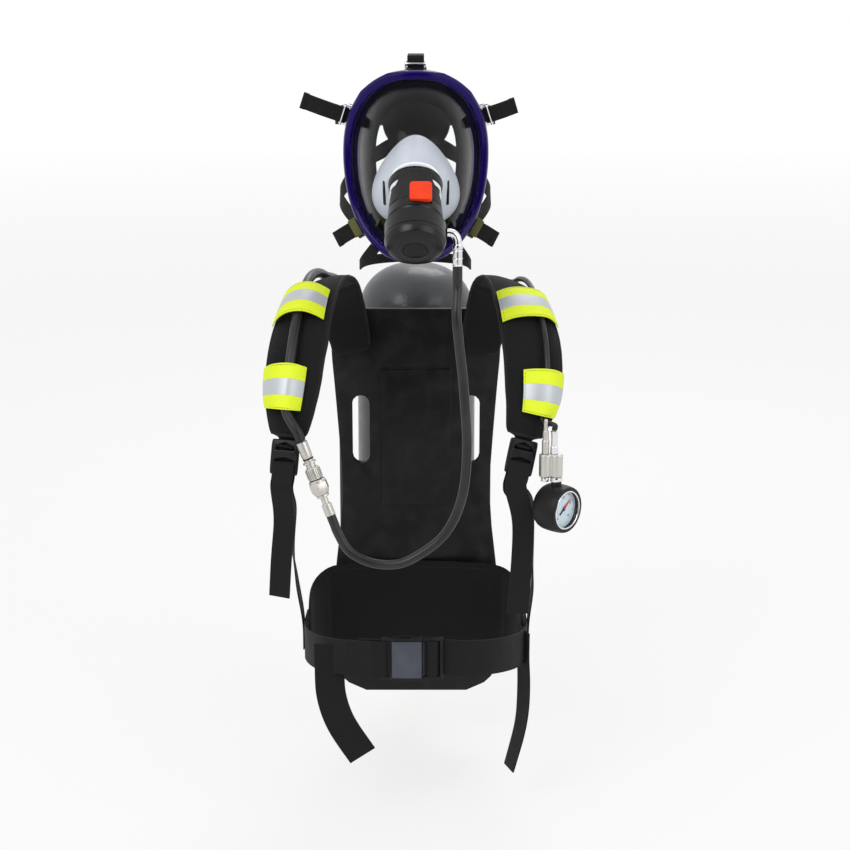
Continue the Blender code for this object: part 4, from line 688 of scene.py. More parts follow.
class Bench:
    """Workbench: the frame's nodes, modelling operators and the dressing of finished pieces."""

    def __init__(self) -> None:
        """Load the frame and keep the CAD box."""
        self.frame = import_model()
        self.cad_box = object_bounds()
        self.groups = SurfaceGroups()
        self.clear()

    @staticmethod
    def clear() -> None:
        """Deselect everything."""
        bpy.ops.object.select_all(action="DESELECT")

    def hold(self, piece: Piece) -> None:
        """Make one piece the only selected and active one.

        Args:
            piece: The piece.
        """
        self.clear()
        piece.select_set(True)
        bpy.context.view_layer.objects.active = piece

    def named(self, name: str) -> Piece:
        """Name the piece that an operator has just added.

        Args:
            name: The piece's name.

        Returns:
            The piece.
        """
        piece = bpy.context.object
        piece.name = name
        piece.data.name = name
        return piece

    def cylinder(self, name: str, radius: float, depth: float, sides: int = 48) -> Piece:
        """Round bar about Z, from z = 0 up.

        Args:
            name: The piece's name.
            radius: Radius in metres.
            depth: Length in metres.
            sides: Number of sides.

        Returns:
            The piece.
        """
        self.clear()
        middle = (0.0, 0.0, depth / 2)
        bpy.ops.mesh.primitive_cylinder_add(vertices=sides, radius=radius, depth=depth, location=middle)
        return self.named(name)

    def bar(self, name: str, size: Sizes, centre: Sizes = (0.0, 0.0, 0.0)) -> Piece:
        """Square bar.

        Args:
            name: The piece's name.
            size: Sizes along X, Y and Z.
            centre: Its middle.

        Returns:
            The piece.
        """
        self.clear()
        bpy.ops.mesh.primitive_cube_add(size=1.0, location=centre)
        piece = self.named(name)
        piece.scale = size
        bpy.ops.object.transform_apply(location=True, rotation=True, scale=True)
        return piece

    def ring(self, name: str, radius: float, thick: float, sides: int = 56) -> Piece:
        """Round ring about Z.

        Args:
            name: The piece's name.
            radius: Radius of its middle line.
            thick: Radius of its section.
            sides: Number of sides.

        Returns:
            The piece.
        """
        self.clear()
        bpy.ops.mesh.primitive_torus_add(major_radius=radius, minor_radius=thick, major_segments=sides,
                                         minor_segments=RING_SECTION)
        return self.named(name)

    def place(self, piece: Piece, frame: Matrix) -> Piece:
        """Carry a piece made at the origin to its place, in its mesh.

        Args:
            piece: The piece.
            frame: Its place in the part's frame.

        Returns:
            The same piece.
        """
        self.hold(piece)
        piece.matrix_world = frame @ piece.matrix_world
        bpy.ops.object.transform_apply(location=True, rotation=True, scale=True)
        return piece

    def modify(self, piece: Piece, kind: str, **settings: object) -> None:
        """Add a modifier and apply it.

        Args:
            piece: The piece.
            kind: Blender's modifier type.
            settings: Properties to set on the modifier.
        """
        self.hold(piece)
        added = piece.modifiers.new(kind.lower(), kind)
        for name, value in settings.items():
            setattr(added, name, value)
        bpy.ops.object.modifier_apply(modifier=added.name)

    def round_edges(self, piece: Piece, width: float, levels: int = 0, angle: float = SHARP_ANGLE) -> None:
        """Bevel the sharp edges and subdivide.

        Args:
            piece: The piece.
            width: Bevel width in metres.
            levels: Subdivision levels.
            angle: Angle in degrees past which an edge is sharp.
        """
        sharp = math.radians(angle)
        if width:
            self.modify(piece, "BEVEL", width=width, segments=2, limit_method="ANGLE", angle_limit=sharp)
        if levels:
            self.modify(piece, "SUBSURF", levels=levels, render_levels=levels)
        self.hold(piece)
        bpy.ops.object.shade_smooth_by_angle(angle=sharp)

    def join(self, pieces: list[Piece], name: str) -> Piece:
        """Join pieces into one.

        Args:
            pieces: The pieces.
            name: The joined piece's name.

        Returns:
            The joined piece.
        """
        self.hold(pieces[0])
        for piece in pieces[1:]:
            piece.select_set(True)
        bpy.ops.object.join()
        return self.named(name)

    def added(self, name: str, data: bpy.types.ID) -> Piece:
        """Put a mesh or curve into the scene as the held piece.

        Args:
            name: The piece's name.
            data: The mesh or curve.

        Returns:
            The piece.
        """
        piece = bpy.data.objects.new(name, data)
        bpy.context.scene.collection.objects.link(piece)
        self.hold(piece)
        return piece

    def copies(self, name: str, model: Piece, frames: list[Matrix]) -> Piece:
        """Copy a model to several places and join the copies, as the held piece.

        Args:
            name: The joined piece's name.
            model: The model at the origin, which goes.
            frames: The place of each copy.

        Returns:
            The joined piece.
        """
        joined = bmesh.new()
        for frame in frames:
            copy = model.data.copy()
            copy.transform(frame)
            joined.from_mesh(copy)
            bpy.data.meshes.remove(copy)
        mesh = bpy.data.meshes.new(name)
        joined.to_mesh(mesh)
        joined.free()
        bpy.data.objects.remove(model)
        return self.added(name, mesh)

    def corners(self, node: str) -> list[Vector]:
        """Corners of a CAD node's mesh."""
        return [vertex.co for vertex in self.frame["nodes"][node].data.vertices]

    def copy_of(self, node: str, flat: float = 0.0) -> Piece:
        """Merged copy of a CAD node, turned back to quads.

        Args:
            node: The CAD node.
            flat: Angle in degrees under which flat faces are joined first.

        Returns:
            The copy.
        """
        piece = self.added("dressed_" + node, self.frame["nodes"][node].data.copy())
        bpy.ops.mesh.customdata_custom_splitnormals_clear()
        bpy.ops.object.mode_set(mode="EDIT")
        bpy.ops.mesh.select_all(action="SELECT")
        bpy.ops.mesh.remove_doubles(threshold=MERGE_REACH)
        if flat:
            bpy.ops.mesh.dissolve_limited(angle_limit=math.radians(flat))
        face, shape = map(math.radians, QUAD_ANGLES)
        bpy.ops.mesh.tris_convert_to_quads(face_threshold=face, shape_threshold=shape)
        bpy.ops.object.mode_set(mode="OBJECT")
        return piece

    def paint(self, piece: Piece, finish: AnyFinish) -> None:
        """Give a piece its one material."""
        piece.data.materials.clear()
        piece.data.materials.append(finish.material(self.groups))

    def dress(self, piece: Piece, finish: AnyFinish, body: str = "pack",
              nodes: tuple[str, ...] = ()) -> Piece:
        """Give a piece its finish and body, and let it stand for CAD nodes.

        Args:
            piece: The finished piece.
            finish: Its finish.
            body: The CAD body that it rides on.
            nodes: CAD nodes that it stands for.

        Returns:
            The same piece.
        """
        self.paint(piece, finish)
        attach(piece, body)
        if nodes:
            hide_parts(*nodes)
        LOG.info("%s: %d faces on %s", piece.name, len(piece.data.polygons), body)
        return piece

    def fit(self, piece: Piece, frame: Matrix, finish: AnyFinish, edge: float = 0.0, body: str = "pack",
            nodes: tuple[str, ...] = ()) -> Piece:
        """Place a small piece made at the origin, round its edges and dress it.

        Args:
            piece: The piece.
            frame: Its place in the part's frame.
            finish: Its finish.
            edge: Width of the rounded edges, or 0 to leave them.
            body: The CAD body that it rides on.
            nodes: CAD nodes that it stands for.

        Returns:
            The same piece.
        """
        self.place(piece, frame)
        if edge:
            self.round_edges(piece, edge)
        return self.dress(piece, finish, body, nodes)

    def refine(self, node: str, finish: AnyFinish, bevel: float, levels: int, body: str = "pack",
               flat: float = 0.0) -> Piece:
        """Stand a smoother copy in for a CAD node.

        Args:
            node: The CAD node.
            finish: Its finish.
            bevel: Width of the rounded edges.
            levels: Subdivision levels.
            body: The CAD body that it rides on.
            flat: Angle under which flat faces are joined first.

        Returns:
            The new piece.
        """
        piece = self.copy_of(node, flat)
        self.round_edges(piece, bevel, levels)
        return self.dress(piece, finish, body, (node,))

    def unrolled(self, node: str) -> Piece:
        """Smooth copy of a CAD strap, with its UV map in metres.

        Args:
            node: The CAD node.

        Returns:
            The copy.
        """
        piece = self.copy_of(node)
        self.unroll(piece)
        self.round_edges(piece, STRAP_EDGE, 2, SOFT_ANGLE)
        return piece

    def strap(self, node: str, finish: AnyFinish) -> Piece:
        """Stand a smooth, unrolled strap in for a CAD strap.

        Args:
            node: The CAD node.
            finish: Its finish, on the UV map in metres.

        Returns:
            The new piece.
        """
        return self.dress(self.unrolled(node), finish, "pack", (node,))

    @staticmethod
    def unroll(piece: Piece) -> None:
        """Lay out a strap's faces in metres on its UV map, U along the strap and V across it.

        Args:
            piece: The strap.
        """
        mesh = bmesh.new()
        mesh.from_mesh(piece.data)
        layer = mesh.loops.layers.uv.verify()
        done: set[int] = set()
        quads = [face for face in mesh.faces if len(face.verts) == 4]
        for seed in sorted(quads, key=lambda face: -face.calc_area()):
            if seed.index in done:
                continue
            loops = list(seed.loops)
            turns = [abs(loop.edge.calc_face_angle(0.0)) for loop in loops]
            first = 0 if turns[0] + turns[2] >= turns[1] + turns[3] else 1
            long = loops[first].edge.calc_length()
            wide = loops[(first + 1) % 4].edge.calc_length()
            for step, spot in enumerate(((0.0, 0.0), (long, 0.0), (long, wide), (0.0, wide))):
                loops[(first + step) % 4][layer].uv = spot
            done.add(seed.index)
            queue = [seed]
            while queue:
                face = queue.pop(0)
                for loop in face.loops:
                    other = loop.link_loop_radial_next
                    near = other.face
                    if other is loop or near.index in done or len(near.verts) != 4:
                        continue
                    start, end = loop[layer].uv.copy(), loop.link_loop_next[layer].uv.copy()
                    run = end - start
                    after, last = other.link_loop_next, other.link_loop_prev
                    depth = (after.edge.calc_length() + last.edge.calc_length()) / 2
                    away = Vector((run.y, -run.x)).normalized() * depth
                    other[layer].uv = end
                    after[layer].uv = start
                    after.link_loop_next[layer].uv = start + away
                    last[layer].uv = end + away
                    done.add(near.index)
                    queue.append(near)
        mesh.to_mesh(piece.data)
        mesh.free()

    def stitches(self, name: str, rows: list[Row], pitch: float) -> Piece:
        """Rows of sewn stitches, one small thread loop copied along each line.

        Args:
            name: The piece's name.
            rows: Lines of (point, outward) pairs.
            pitch: Distance from one stitch to the next.

        Returns:
            The joined stitches.
        """
        self.clear()
        bpy.ops.mesh.primitive_uv_sphere_add(segments=6, ring_count=5, radius=1.0)
        model = self.named("stitch_model")
        frames = []
        for row in rows:
            walked = 0.0
            for (start, out), (end, _) in zip(row, row[1:]):
                run = end - start
                walked += run.length
                if walked < pitch or run.length < NO_LENGTH:
                    continue
                walked = 0.0
                along = run.normalized()
                across = out.cross(along).normalized()
                frames.append(axes_frame((start + end) / 2, along * pitch * STITCH_SHARE,
                                         across * STITCH_WIDE, out.normalized() * STITCH_TALL))
        made = self.copies(name, model, frames)
        bpy.ops.object.shade_smooth()
        return self.dress(made, THREAD)

    def pad(self, node: str, sewn: list[Vector]) -> Piece:
        """Padded cloth in place of a CAD pad: a slightly smaller shape that a cloth simulation swells.

        Args:
            node: The CAD pad.
            sewn: Points where the cloth is sewn down.

        Returns:
            The pad.
        """
        piece = self.copy_of(node)
        self.modify(piece, "SUBSURF", levels=2, render_levels=2)
        self.modify(piece, "DISPLACE", strength=-PAD_SWELL, mid_level=0.0)
        self.swell(piece, sewn)
        self.hold(piece)
        bpy.ops.object.shade_smooth()
        return self.dress(piece, PAD_CLOTH, "pack", (node,))

    def swell(self, piece: Piece, sewn: list[Vector]) -> None:
        """Blow a pad up under pressure, pinned where it is sewn and held near its start elsewhere.

        Args:
            piece: The pad.
            sewn: Points where the cloth is sewn down.
        """
        tree = KDTree(len(sewn))
        for index, point in enumerate(sewn):
            tree.insert(point, index)
        tree.balance()
        pinned = [vertex.index for vertex in piece.data.vertices if tree.find(vertex.co)[2] < SEWN_REACH]
        group = piece.vertex_groups.new(name="sewn")
        group.add(pinned, 1.0, "ADD")
        before = [vertex.co.copy() for vertex in piece.data.vertices]
        self.hold(piece)
        cloth = piece.modifiers.new("cloth", "CLOTH")
        cloth.settings.use_pressure = True
        cloth.settings.uniform_pressure_force = PAD_PRESSURE
        cloth.settings.vertex_group_mass = group.name
        cloth.settings.effector_weights.gravity = 0.0
        for frame in range(1, PAD_FRAMES + 1):
            bpy.context.scene.frame_set(frame)
        bpy.ops.object.modifier_apply(modifier=cloth.name)
        bpy.context.scene.frame_set(1)
        for vertex, start in zip(piece.data.vertices, before):
            move = vertex.co - start
            if move.length > PAD_SWELL:
                vertex.co = start + move.normalized() * PAD_SWELL

    @staticmethod
    def front_of(piece: Piece, side: float, level: float) -> tuple[Vector, Vector]:
        """Point on the front of a piece, and its normal.

        Args:
            piece: The piece.
            side: Where along X.
            level: Where along Z.

        Returns:
            The point and the normal there.
        """
        hit, point, normal, _ = piece.ray_cast(Vector((side, -1.0, level)), Vector((0.0, 1.0, 0.0)))
        if not hit:
            raise ValueError("%s has no face at %.3f, %.3f" % (piece.name, side, level))
        return point, normal

    @staticmethod
    def snapped(piece: Piece, rows: list[Row]) -> list[Row]:
        """Rows of points moved onto a piece's surface, with the normals there.

        Args:
            piece: The piece.
            rows: Lines of (point, outward) pairs.

        Returns:
            The moved lines.
        """
        bpy.context.view_layer.update()
        found = [[piece.closest_point_on_mesh(point) for point, _ in row] for row in rows]
        return [[(hit[1], hit[2]) for hit in row] for row in found]

    def patch(self, name: str, under: Piece, across: tuple[float, float],
              upright: tuple[float, float], thick: float) -> Piece:
        """Raised plate laid on the front of a piece.

        Args:
            name: The plate's name.
            under: The piece under it.
            across: Its range along X.
            upright: Its range along Z.
            thick: Its thickness.

        Returns:
            The plate.
        """
        self.clear()
        bpy.ops.mesh.primitive_grid_add(x_subdivisions=PATCH_STEPS, y_subdivisions=PATCH_STEPS, size=1.0)
        piece = self.named(name)
        bpy.context.view_layer.update()
        for vertex in piece.data.vertices:
            side = across[0] + (vertex.co.x + 0.5) * (across[1] - across[0])
            level = upright[0] + (vertex.co.y + 0.5) * (upright[1] - upright[0])
            vertex.co = self.front_of(under, side, level)[0]
        self.modify(piece, "SOLIDIFY", thickness=thick, offset=1.0)
        self.round_edges(piece, PATCH_EDGE)
        return piece

    def tube(self, name: str, points: list[Vector], radius: float, sides: int = 4) -> Piece:
        """Round tube along a line of points, closed at its ends.

        Args:
            name: The piece's name.
            points: Points of its middle line.
            radius: Its radius.
            sides: Bevel resolution.

        Returns:
            The tube, as a mesh.
        """
        curve = bpy.data.curves.new(name, "CURVE")
        curve.dimensions = "3D"
        curve.bevel_depth = radius
        curve.bevel_resolution = sides
        curve.use_fill_caps = True
        spline = curve.splines.new("POLY")
        spline.points.add(len(points) - 1)
        for spot, point in zip(spline.points, points):
            spot.co = (*point, 1.0)
        self.added(name, curve)
        bpy.ops.object.convert(target="MESH")
        bpy.ops.object.shade_smooth_by_angle(angle=math.radians(SOFT_ANGLE))
        return self.named(name)


def smooth_line(points: list[Vector], per_span: int) -> list[Vector]:
    """Points on a smooth curve through the given ones.

    Args:
        points: Points that the curve passes.
        per_span: Points on each span.

    Returns:
        The curve's points.
    """
    count = (len(points) - 1) * per_span
    return [curve_at(points, step / per_span) for step in range(count + 1)]


def curve_at(points: list[Vector], place: float) -> Vector:
    """Point on a Catmull-Rom curve.

    Args:
        points: Points that the curve passes at whole numbers.
        place: Where on the curve.

    Returns:
        The point.
    """
    index = max(0, min(int(place), len(points) - 2))
    part = place - index
    start, end = points[index], points[index + 1]
    before = points[index - 1] if index else start * 2 - end
    after = points[index + 2] if index + 2 < len(points) else end * 2 - start
    square = part * part
    return (start * 2 + (end - before) * part + (before * 2 - start * 5 + end * 4 - after) * square
            + (start * 3 - before - end * 3 + after) * square * part) * 0.5


def facing_frame(origin: Vector, up: Vector, axis: Vector) -> Matrix:
    """Frame with Z along an axis and Y near an up direction.

    Args:
        origin: The frame's origin.
        up: Rough Y direction.
        axis: Z direction.

    Returns:
        The frame.
    """
    depth = axis.normalized()
    across = up.cross(depth).normalized()
    return axes_frame(origin, across, depth.cross(across), depth)


@dataclass
class MaskUnit:
    """Full-face mask: rim, visor, seal, nose cup and the valve's port."""

    bench: Bench
    port: Vector = field(default_factory=lambda: Vector((0.001, -0.2199, 0.3476)))
    port_turn: float = math.radians(135.0)
    gasket: tuple[float, float] = (0.0281, 0.0022)
    gasket_stretch: float = 2.8
    # Dark strips sunk into the nose cup either side of the port: painted reflection of the valve's dark body.
    slot_sides: tuple[float, float] = (-0.0342, 0.0372)
    slot_levels: tuple[float, float] = (0.322, 0.350)
    slot_steps: int = 8
    slot_radius: float = 0.0019
    slot_sunk: float = 0.0003

    def build(self) -> None:
        """Stand smooth pieces in for the mask's solids."""
        bench = self.bench
        bench.refine("mask_rim", RIM_LACQUER, bevel=0.0006, levels=2)
        bench.refine("visor", VISOR_CLEAR, bevel=0.0, levels=2)
        bench.refine("face_seal", SEAL_RUBBER, bevel=0.0, levels=2)
        cup = bench.refine("nose_cup", CUP_SILICONE, bevel=0.0, levels=2)
        bench.refine("port_housing", CHROME, bevel=0.0005, levels=2)
        bench.refine("inhale_disc", SEAL_RUBBER, bevel=0.0002, levels=1)
        turned = Matrix.Translation(self.port) @ Matrix.Rotation(self.port_turn, 4, "X")
        stretched = turned @ Matrix.Diagonal((1.0, 1.0, self.gasket_stretch, 1.0))
        bench.fit(bench.ring("port_gasket", *self.gasket), stretched, VALVE_PLASTIC)
        bpy.context.view_layer.update()
        # Dark rubber strips on the nose cup, painted reflection of the valve's dark body.
        for step, side in enumerate(self.slot_sides):
            levels = steps(*self.slot_levels, self.slot_steps)
            hits = [bench.front_of(cup, side, level) for level in levels]
            points = [point - normal * self.slot_sunk for point, normal in hits]
            bench.dress(bench.tube("cup_painted_reflection_%d" % step, points, self.slot_radius), SEAL_RUBBER)


@dataclass
class DemandValve:
    """Lung-demand valve with its buttons, diaphragm and swivel elbow."""

    bench: Bench
    ferrule_radius: float = 0.0052
    ring_levels: tuple[float, ...] = (0.0012, 0.0085, 0.0170)
    corner: float = 0.0040
    corner_steps: int = 5
    edge: float = 0.0010
    upright_share: float = 0.9

    def build(self) -> None:
        """Stand smooth pieces in for the valve's solids."""
        bench = self.bench
        bench.refine("demand_valve_body", VALVE_PLASTIC, bevel=0.0006, levels=2)
        bench.refine("demand_valve_cover", VALVE_PLASTIC, bevel=0.0008, levels=2)
        bench.refine("diaphragm", SEAL_RUBBER, bevel=0.0002, levels=1)
        bench.refine("valve_elbow", CHROME, bevel=0.0003, levels=2)
        self.button()
        bench.refine("purge_button", BOOT_RUBBER, bevel=0.0004, levels=2, body="purge")
        low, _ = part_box("valve_elbow")
        for step, level in enumerate(self.ring_levels):
            ring = bench.ring("ferrule_ring_%d" % step, self.ferrule_radius, *SMALL_RING)
            bench.fit(ring, Matrix.Translation((*ELBOW, low[2] + level)), CHROME)

    def button(self) -> None:
        """Shut-off button in the size of the CAD button, with well rounded corners."""
        slope = math.sqrt(0.5)
        axes = (Vector((1.0, 0.0, 0.0)), Vector((0.0, -slope, slope)), Vector((0.0, -slope, -slope)))
        corners = self.bench.corners("shutoff_button")
        spans = [[corner.dot(axis) for corner in corners] for axis in axes]
        cap = self.bench.bar("dressed_shutoff_button", tuple(max(span) - min(span) for span in spans))
        shape = bmesh.new()
        shape.from_mesh(cap.data)
        upright = [edge for edge in shape.edges
                   if abs((edge.verts[0].co - edge.verts[1].co).normalized().y) > self.upright_share]
        bmesh.ops.bevel(shape, geom=upright, offset=self.corner, segments=self.corner_steps, profile=0.5,
                        affect="EDGES")
        shape.to_mesh(cap.data)
        shape.free()
        middles = [(max(span) + min(span)) / 2 for span in spans]
        origin = sum((axis * middle for axis, middle in zip(axes, middles)), Vector())
        self.bench.fit(cap, axes_frame(origin, *axes), BUTTON_RED, self.edge, "shutoff", ("shutoff_button",))


@dataclass
class HeadHarness:
    """Elastic head straps with wire buckles, the nape pad and the neck strap."""

    bench: Bench
    places: tuple[str, ...] = ("top", "temple_right", "temple_left", "cheek_right", "cheek_left")
    mask_middle: Vector = field(default_factory=lambda: Vector((0.001, -0.150, 0.345)))
    keeper_reach: float = 0.0035
    keeper_lift: float = 0.0048
    loop_size: Sizes = (0.0220, 0.0095, 0.0016)
    wire_radius: float = 0.0012
    wire_length: float = 0.0240
    tails: tuple[tuple[str, float, float], ...] = (("temple_", 0.970, 0.240), ("cheek_", 0.788, -0.616))
    hem_size: Sizes = (0.0196, 0.0070, 0.0040)
    hem_depth: float = 0.0028
    hem_back: float = 0.0030

    def build(self) -> None:
        """Stand straps and buckles in for their solids."""
        for place in self.places:
            self.bench.strap("strap_" + place, STRAP_ELASTIC)
            finish = OLIVE_RUBBER if place.startswith("cheek") else CHROME
            self.bench.refine("buckle_" + place, finish, bevel=0.0004, levels=1)
            self.keeper(place)
        for side in Side:
            for strap, aside, up in self.tails:
                self.hem(strap + side.label, Vector((side.value * aside, 0.0, up)))
        self.bench.strap("neck_strap", STRAP_ELASTIC)
        self.bench.refine("head_cap", SEAL_RUBBER, bevel=0.0008, levels=2)

    def keeper(self, place: str) -> None:
        """Keeper over a strap where it leaves its buckle: an olive loop at the cheeks, else a chromed wire.

        Args:
            place: The strap's place on the mask.
        """
        corners = np.array(self.bench.corners("buckle_" + place))
        centre = corners.mean(axis=0)
        middle = Vector(centre)
        _, outward, front = map(Vector, np.linalg.svd(corners - centre, False)[2])
        if outward.dot(middle - self.mask_middle) < 0:
            outward = -outward
        if front.y > 0:
            front = -front
        spot = middle + outward * self.keeper_reach + front * self.keeper_lift
        frame = axes_frame(spot, outward.cross(front), outward, front)
        name = "keeper_" + place
        if place.startswith("cheek"):
            self.bench.fit(self.bench.bar(name, self.loop_size), frame, OLIVE_RUBBER, edge=0.0006)
            return
        wire = self.bench.cylinder(name, self.wire_radius, self.wire_length, sides=20)
        across = Matrix.Rotation(math.radians(90.0), 4, "Y") @ lifted(-self.wire_length / 2)
        self.bench.fit(wire, frame @ across, CHROME, edge=0.0005)

    def hem(self, place: str, reach: Vector) -> None:
        """Folded and sewn end of a strap's tail.

        Args:
            place: The strap's place on the mask.
            reach: Direction in which its tail points.
        """
        corners = self.bench.corners("strap_" + place)
        far = max(corner.dot(reach) for corner in corners)
        cap = [corner for corner in corners if far - corner.dot(reach) < self.hem_depth]
        middle = sum(cap, Vector()) / len(cap)
        across = max((corner - middle for corner in cap), key=lambda offset: offset.length).normalized()
        along = (reach - across * reach.dot(across)).normalized()
        frame = axes_frame(middle - along * self.hem_back, across, along, across.cross(along))
        fold = self.bench.bar("hem_" + place, self.hem_size)
        self.bench.unroll(fold)
        self.bench.fit(fold, frame, STRAP_ELASTIC, edge=0.0009)


@dataclass
class AirHoses:
    """The free demand hose, and the two hoses that lie on the plate and the pads."""

    bench: Bench
    radius: float = 0.0055
    elbow_x: float = ELBOW[0]
    elbow_y: float = ELBOW[1]
    give: tuple[float, float] = (0.235, -0.010)
    elbow_leads: tuple[float, ...] = (0.0, 0.012, 0.026)
    plug_leads: tuple[float, ...] = (0.022, 0.010, 0.0)
    plug_gap: float = 0.0006
    per_span: int = 6

    def route(self) -> list[Vector]:
        """Middle line of the demand hose, from the elbow to the plug.

        Returns:
            Points along the hose.
        """
        _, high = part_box("demand_hose")
        axis = (COUPLING_END - COUPLING_TOP).normalized()
        end = COUPLING_END + axis * self.plug_gap
        points = [Vector((*ELBOW, high[2] - lead)) for lead in self.elbow_leads]
        points += [Vector(spot) for spot in (
            (0.0462, -0.2760, 0.212), (0.0495, -0.2760, 0.178), (0.0535, -0.2760, 0.143),
            (0.0563, -0.2760, 0.108), (0.0586, -0.2760, 0.071), (0.0576, -0.2760, 0.035),
            (0.0537, -0.2760, 0.006), (0.0450, -0.2760, -0.021), (0.0306, -0.2760, -0.044),
            (0.0086, -0.2760, -0.062), (-0.0134, -0.2760, -0.074), (-0.0355, -0.2755, -0.0765),
            (-0.0575, -0.2745, -0.0715), (-0.0760, -0.2725, -0.060))]
        points += [end + axis * lead for lead in self.plug_leads]
        return smooth_line(points, self.per_span)

    def build(self) -> None:
        """Build the demand hose as a cord and smooth the two laid hoses."""
        path = self.route()
        hose = self.bench.tube("demand_hose_tube", path, self.radius, sides=5)
        self.bench.paint(hose, HOSE_RUBBER)
        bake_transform(hose)
        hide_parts("demand_hose")
        self.bench.refine("supply_hose", HOSE_RUBBER, bevel=0.0, levels=2)
        self.bench.refine("gauge_hose", HOSE_RUBBER, bevel=0.0, levels=2)


@dataclass
class QuickCoupling:
    """Push-in coupling: socket with its hexagon, knurled sleeve and plug."""

    bench: Bench
    hexagon_at: float = 0.0495
    hexagon_radius: float = 0.0113
    hexagon_length: float = 0.0100
    sleeve_at: float = 0.0307
    sleeve_length: float = 0.0150
    sleeve_radius: float = 0.0080
    ridges: int = 20
    ridge_size: Sizes = (0.0012, 0.0018, 0.0110)
    grooves: tuple[tuple[float, float], ...] = ((0.0204, 0.0058), (0.0249, 0.0060), (0.0462, 0.0080))

    def build(self) -> None:
        """Build the fittings about the coupling's slanted axis."""
        bench = self.bench
        frame = facing_frame(COUPLING_TOP, Vector((0.0, -1.0, 0.0)), COUPLING_END - COUPLING_TOP)
        bench.refine("coupling_socket", NICKEL, bevel=0.0003, levels=2)
        bench.refine("coupling_plug", NICKEL, bevel=0.0003, levels=2, body="plug")
        flats = bench.cylinder("coupling_hexagon", self.hexagon_radius, self.hexagon_length, sides=6)
        bench.fit(flats, frame @ lifted(self.hexagon_at), NICKEL, edge=0.0006)
        self.sleeve(frame @ lifted(self.sleeve_at))
        for step, (level, radius) in enumerate(self.grooves):
            ring = bench.ring("coupling_seal_%d" % step, radius, *SMALL_RING)
            bench.fit(ring, frame @ lifted(level), BOOT_RUBBER)

    def sleeve(self, frame: Matrix) -> None:
        """Knurled sleeve: bars set round the smoothed CAD sleeve.

        Args:
            frame: Frame at the sleeve's end, Z along it.
        """
        self.bench.refine("coupling_sleeve", NICKEL, bevel=0.0003, levels=2, body="sleeve")
        middle = (0.0, self.sleeve_radius, self.sleeve_length / 2)
        ridge = self.bench.bar("ridge_model", self.ridge_size, middle)
        turns = [math.tau * step / self.ridges for step in range(self.ridges)]
        places = [frame @ Matrix.Rotation(turn, 4, "Z") for turn in turns]
        knurl = self.bench.copies("coupling_knurl", ridge, places)
        self.bench.fit(knurl, Matrix(), NICKEL, edge=0.0002, body="sleeve")


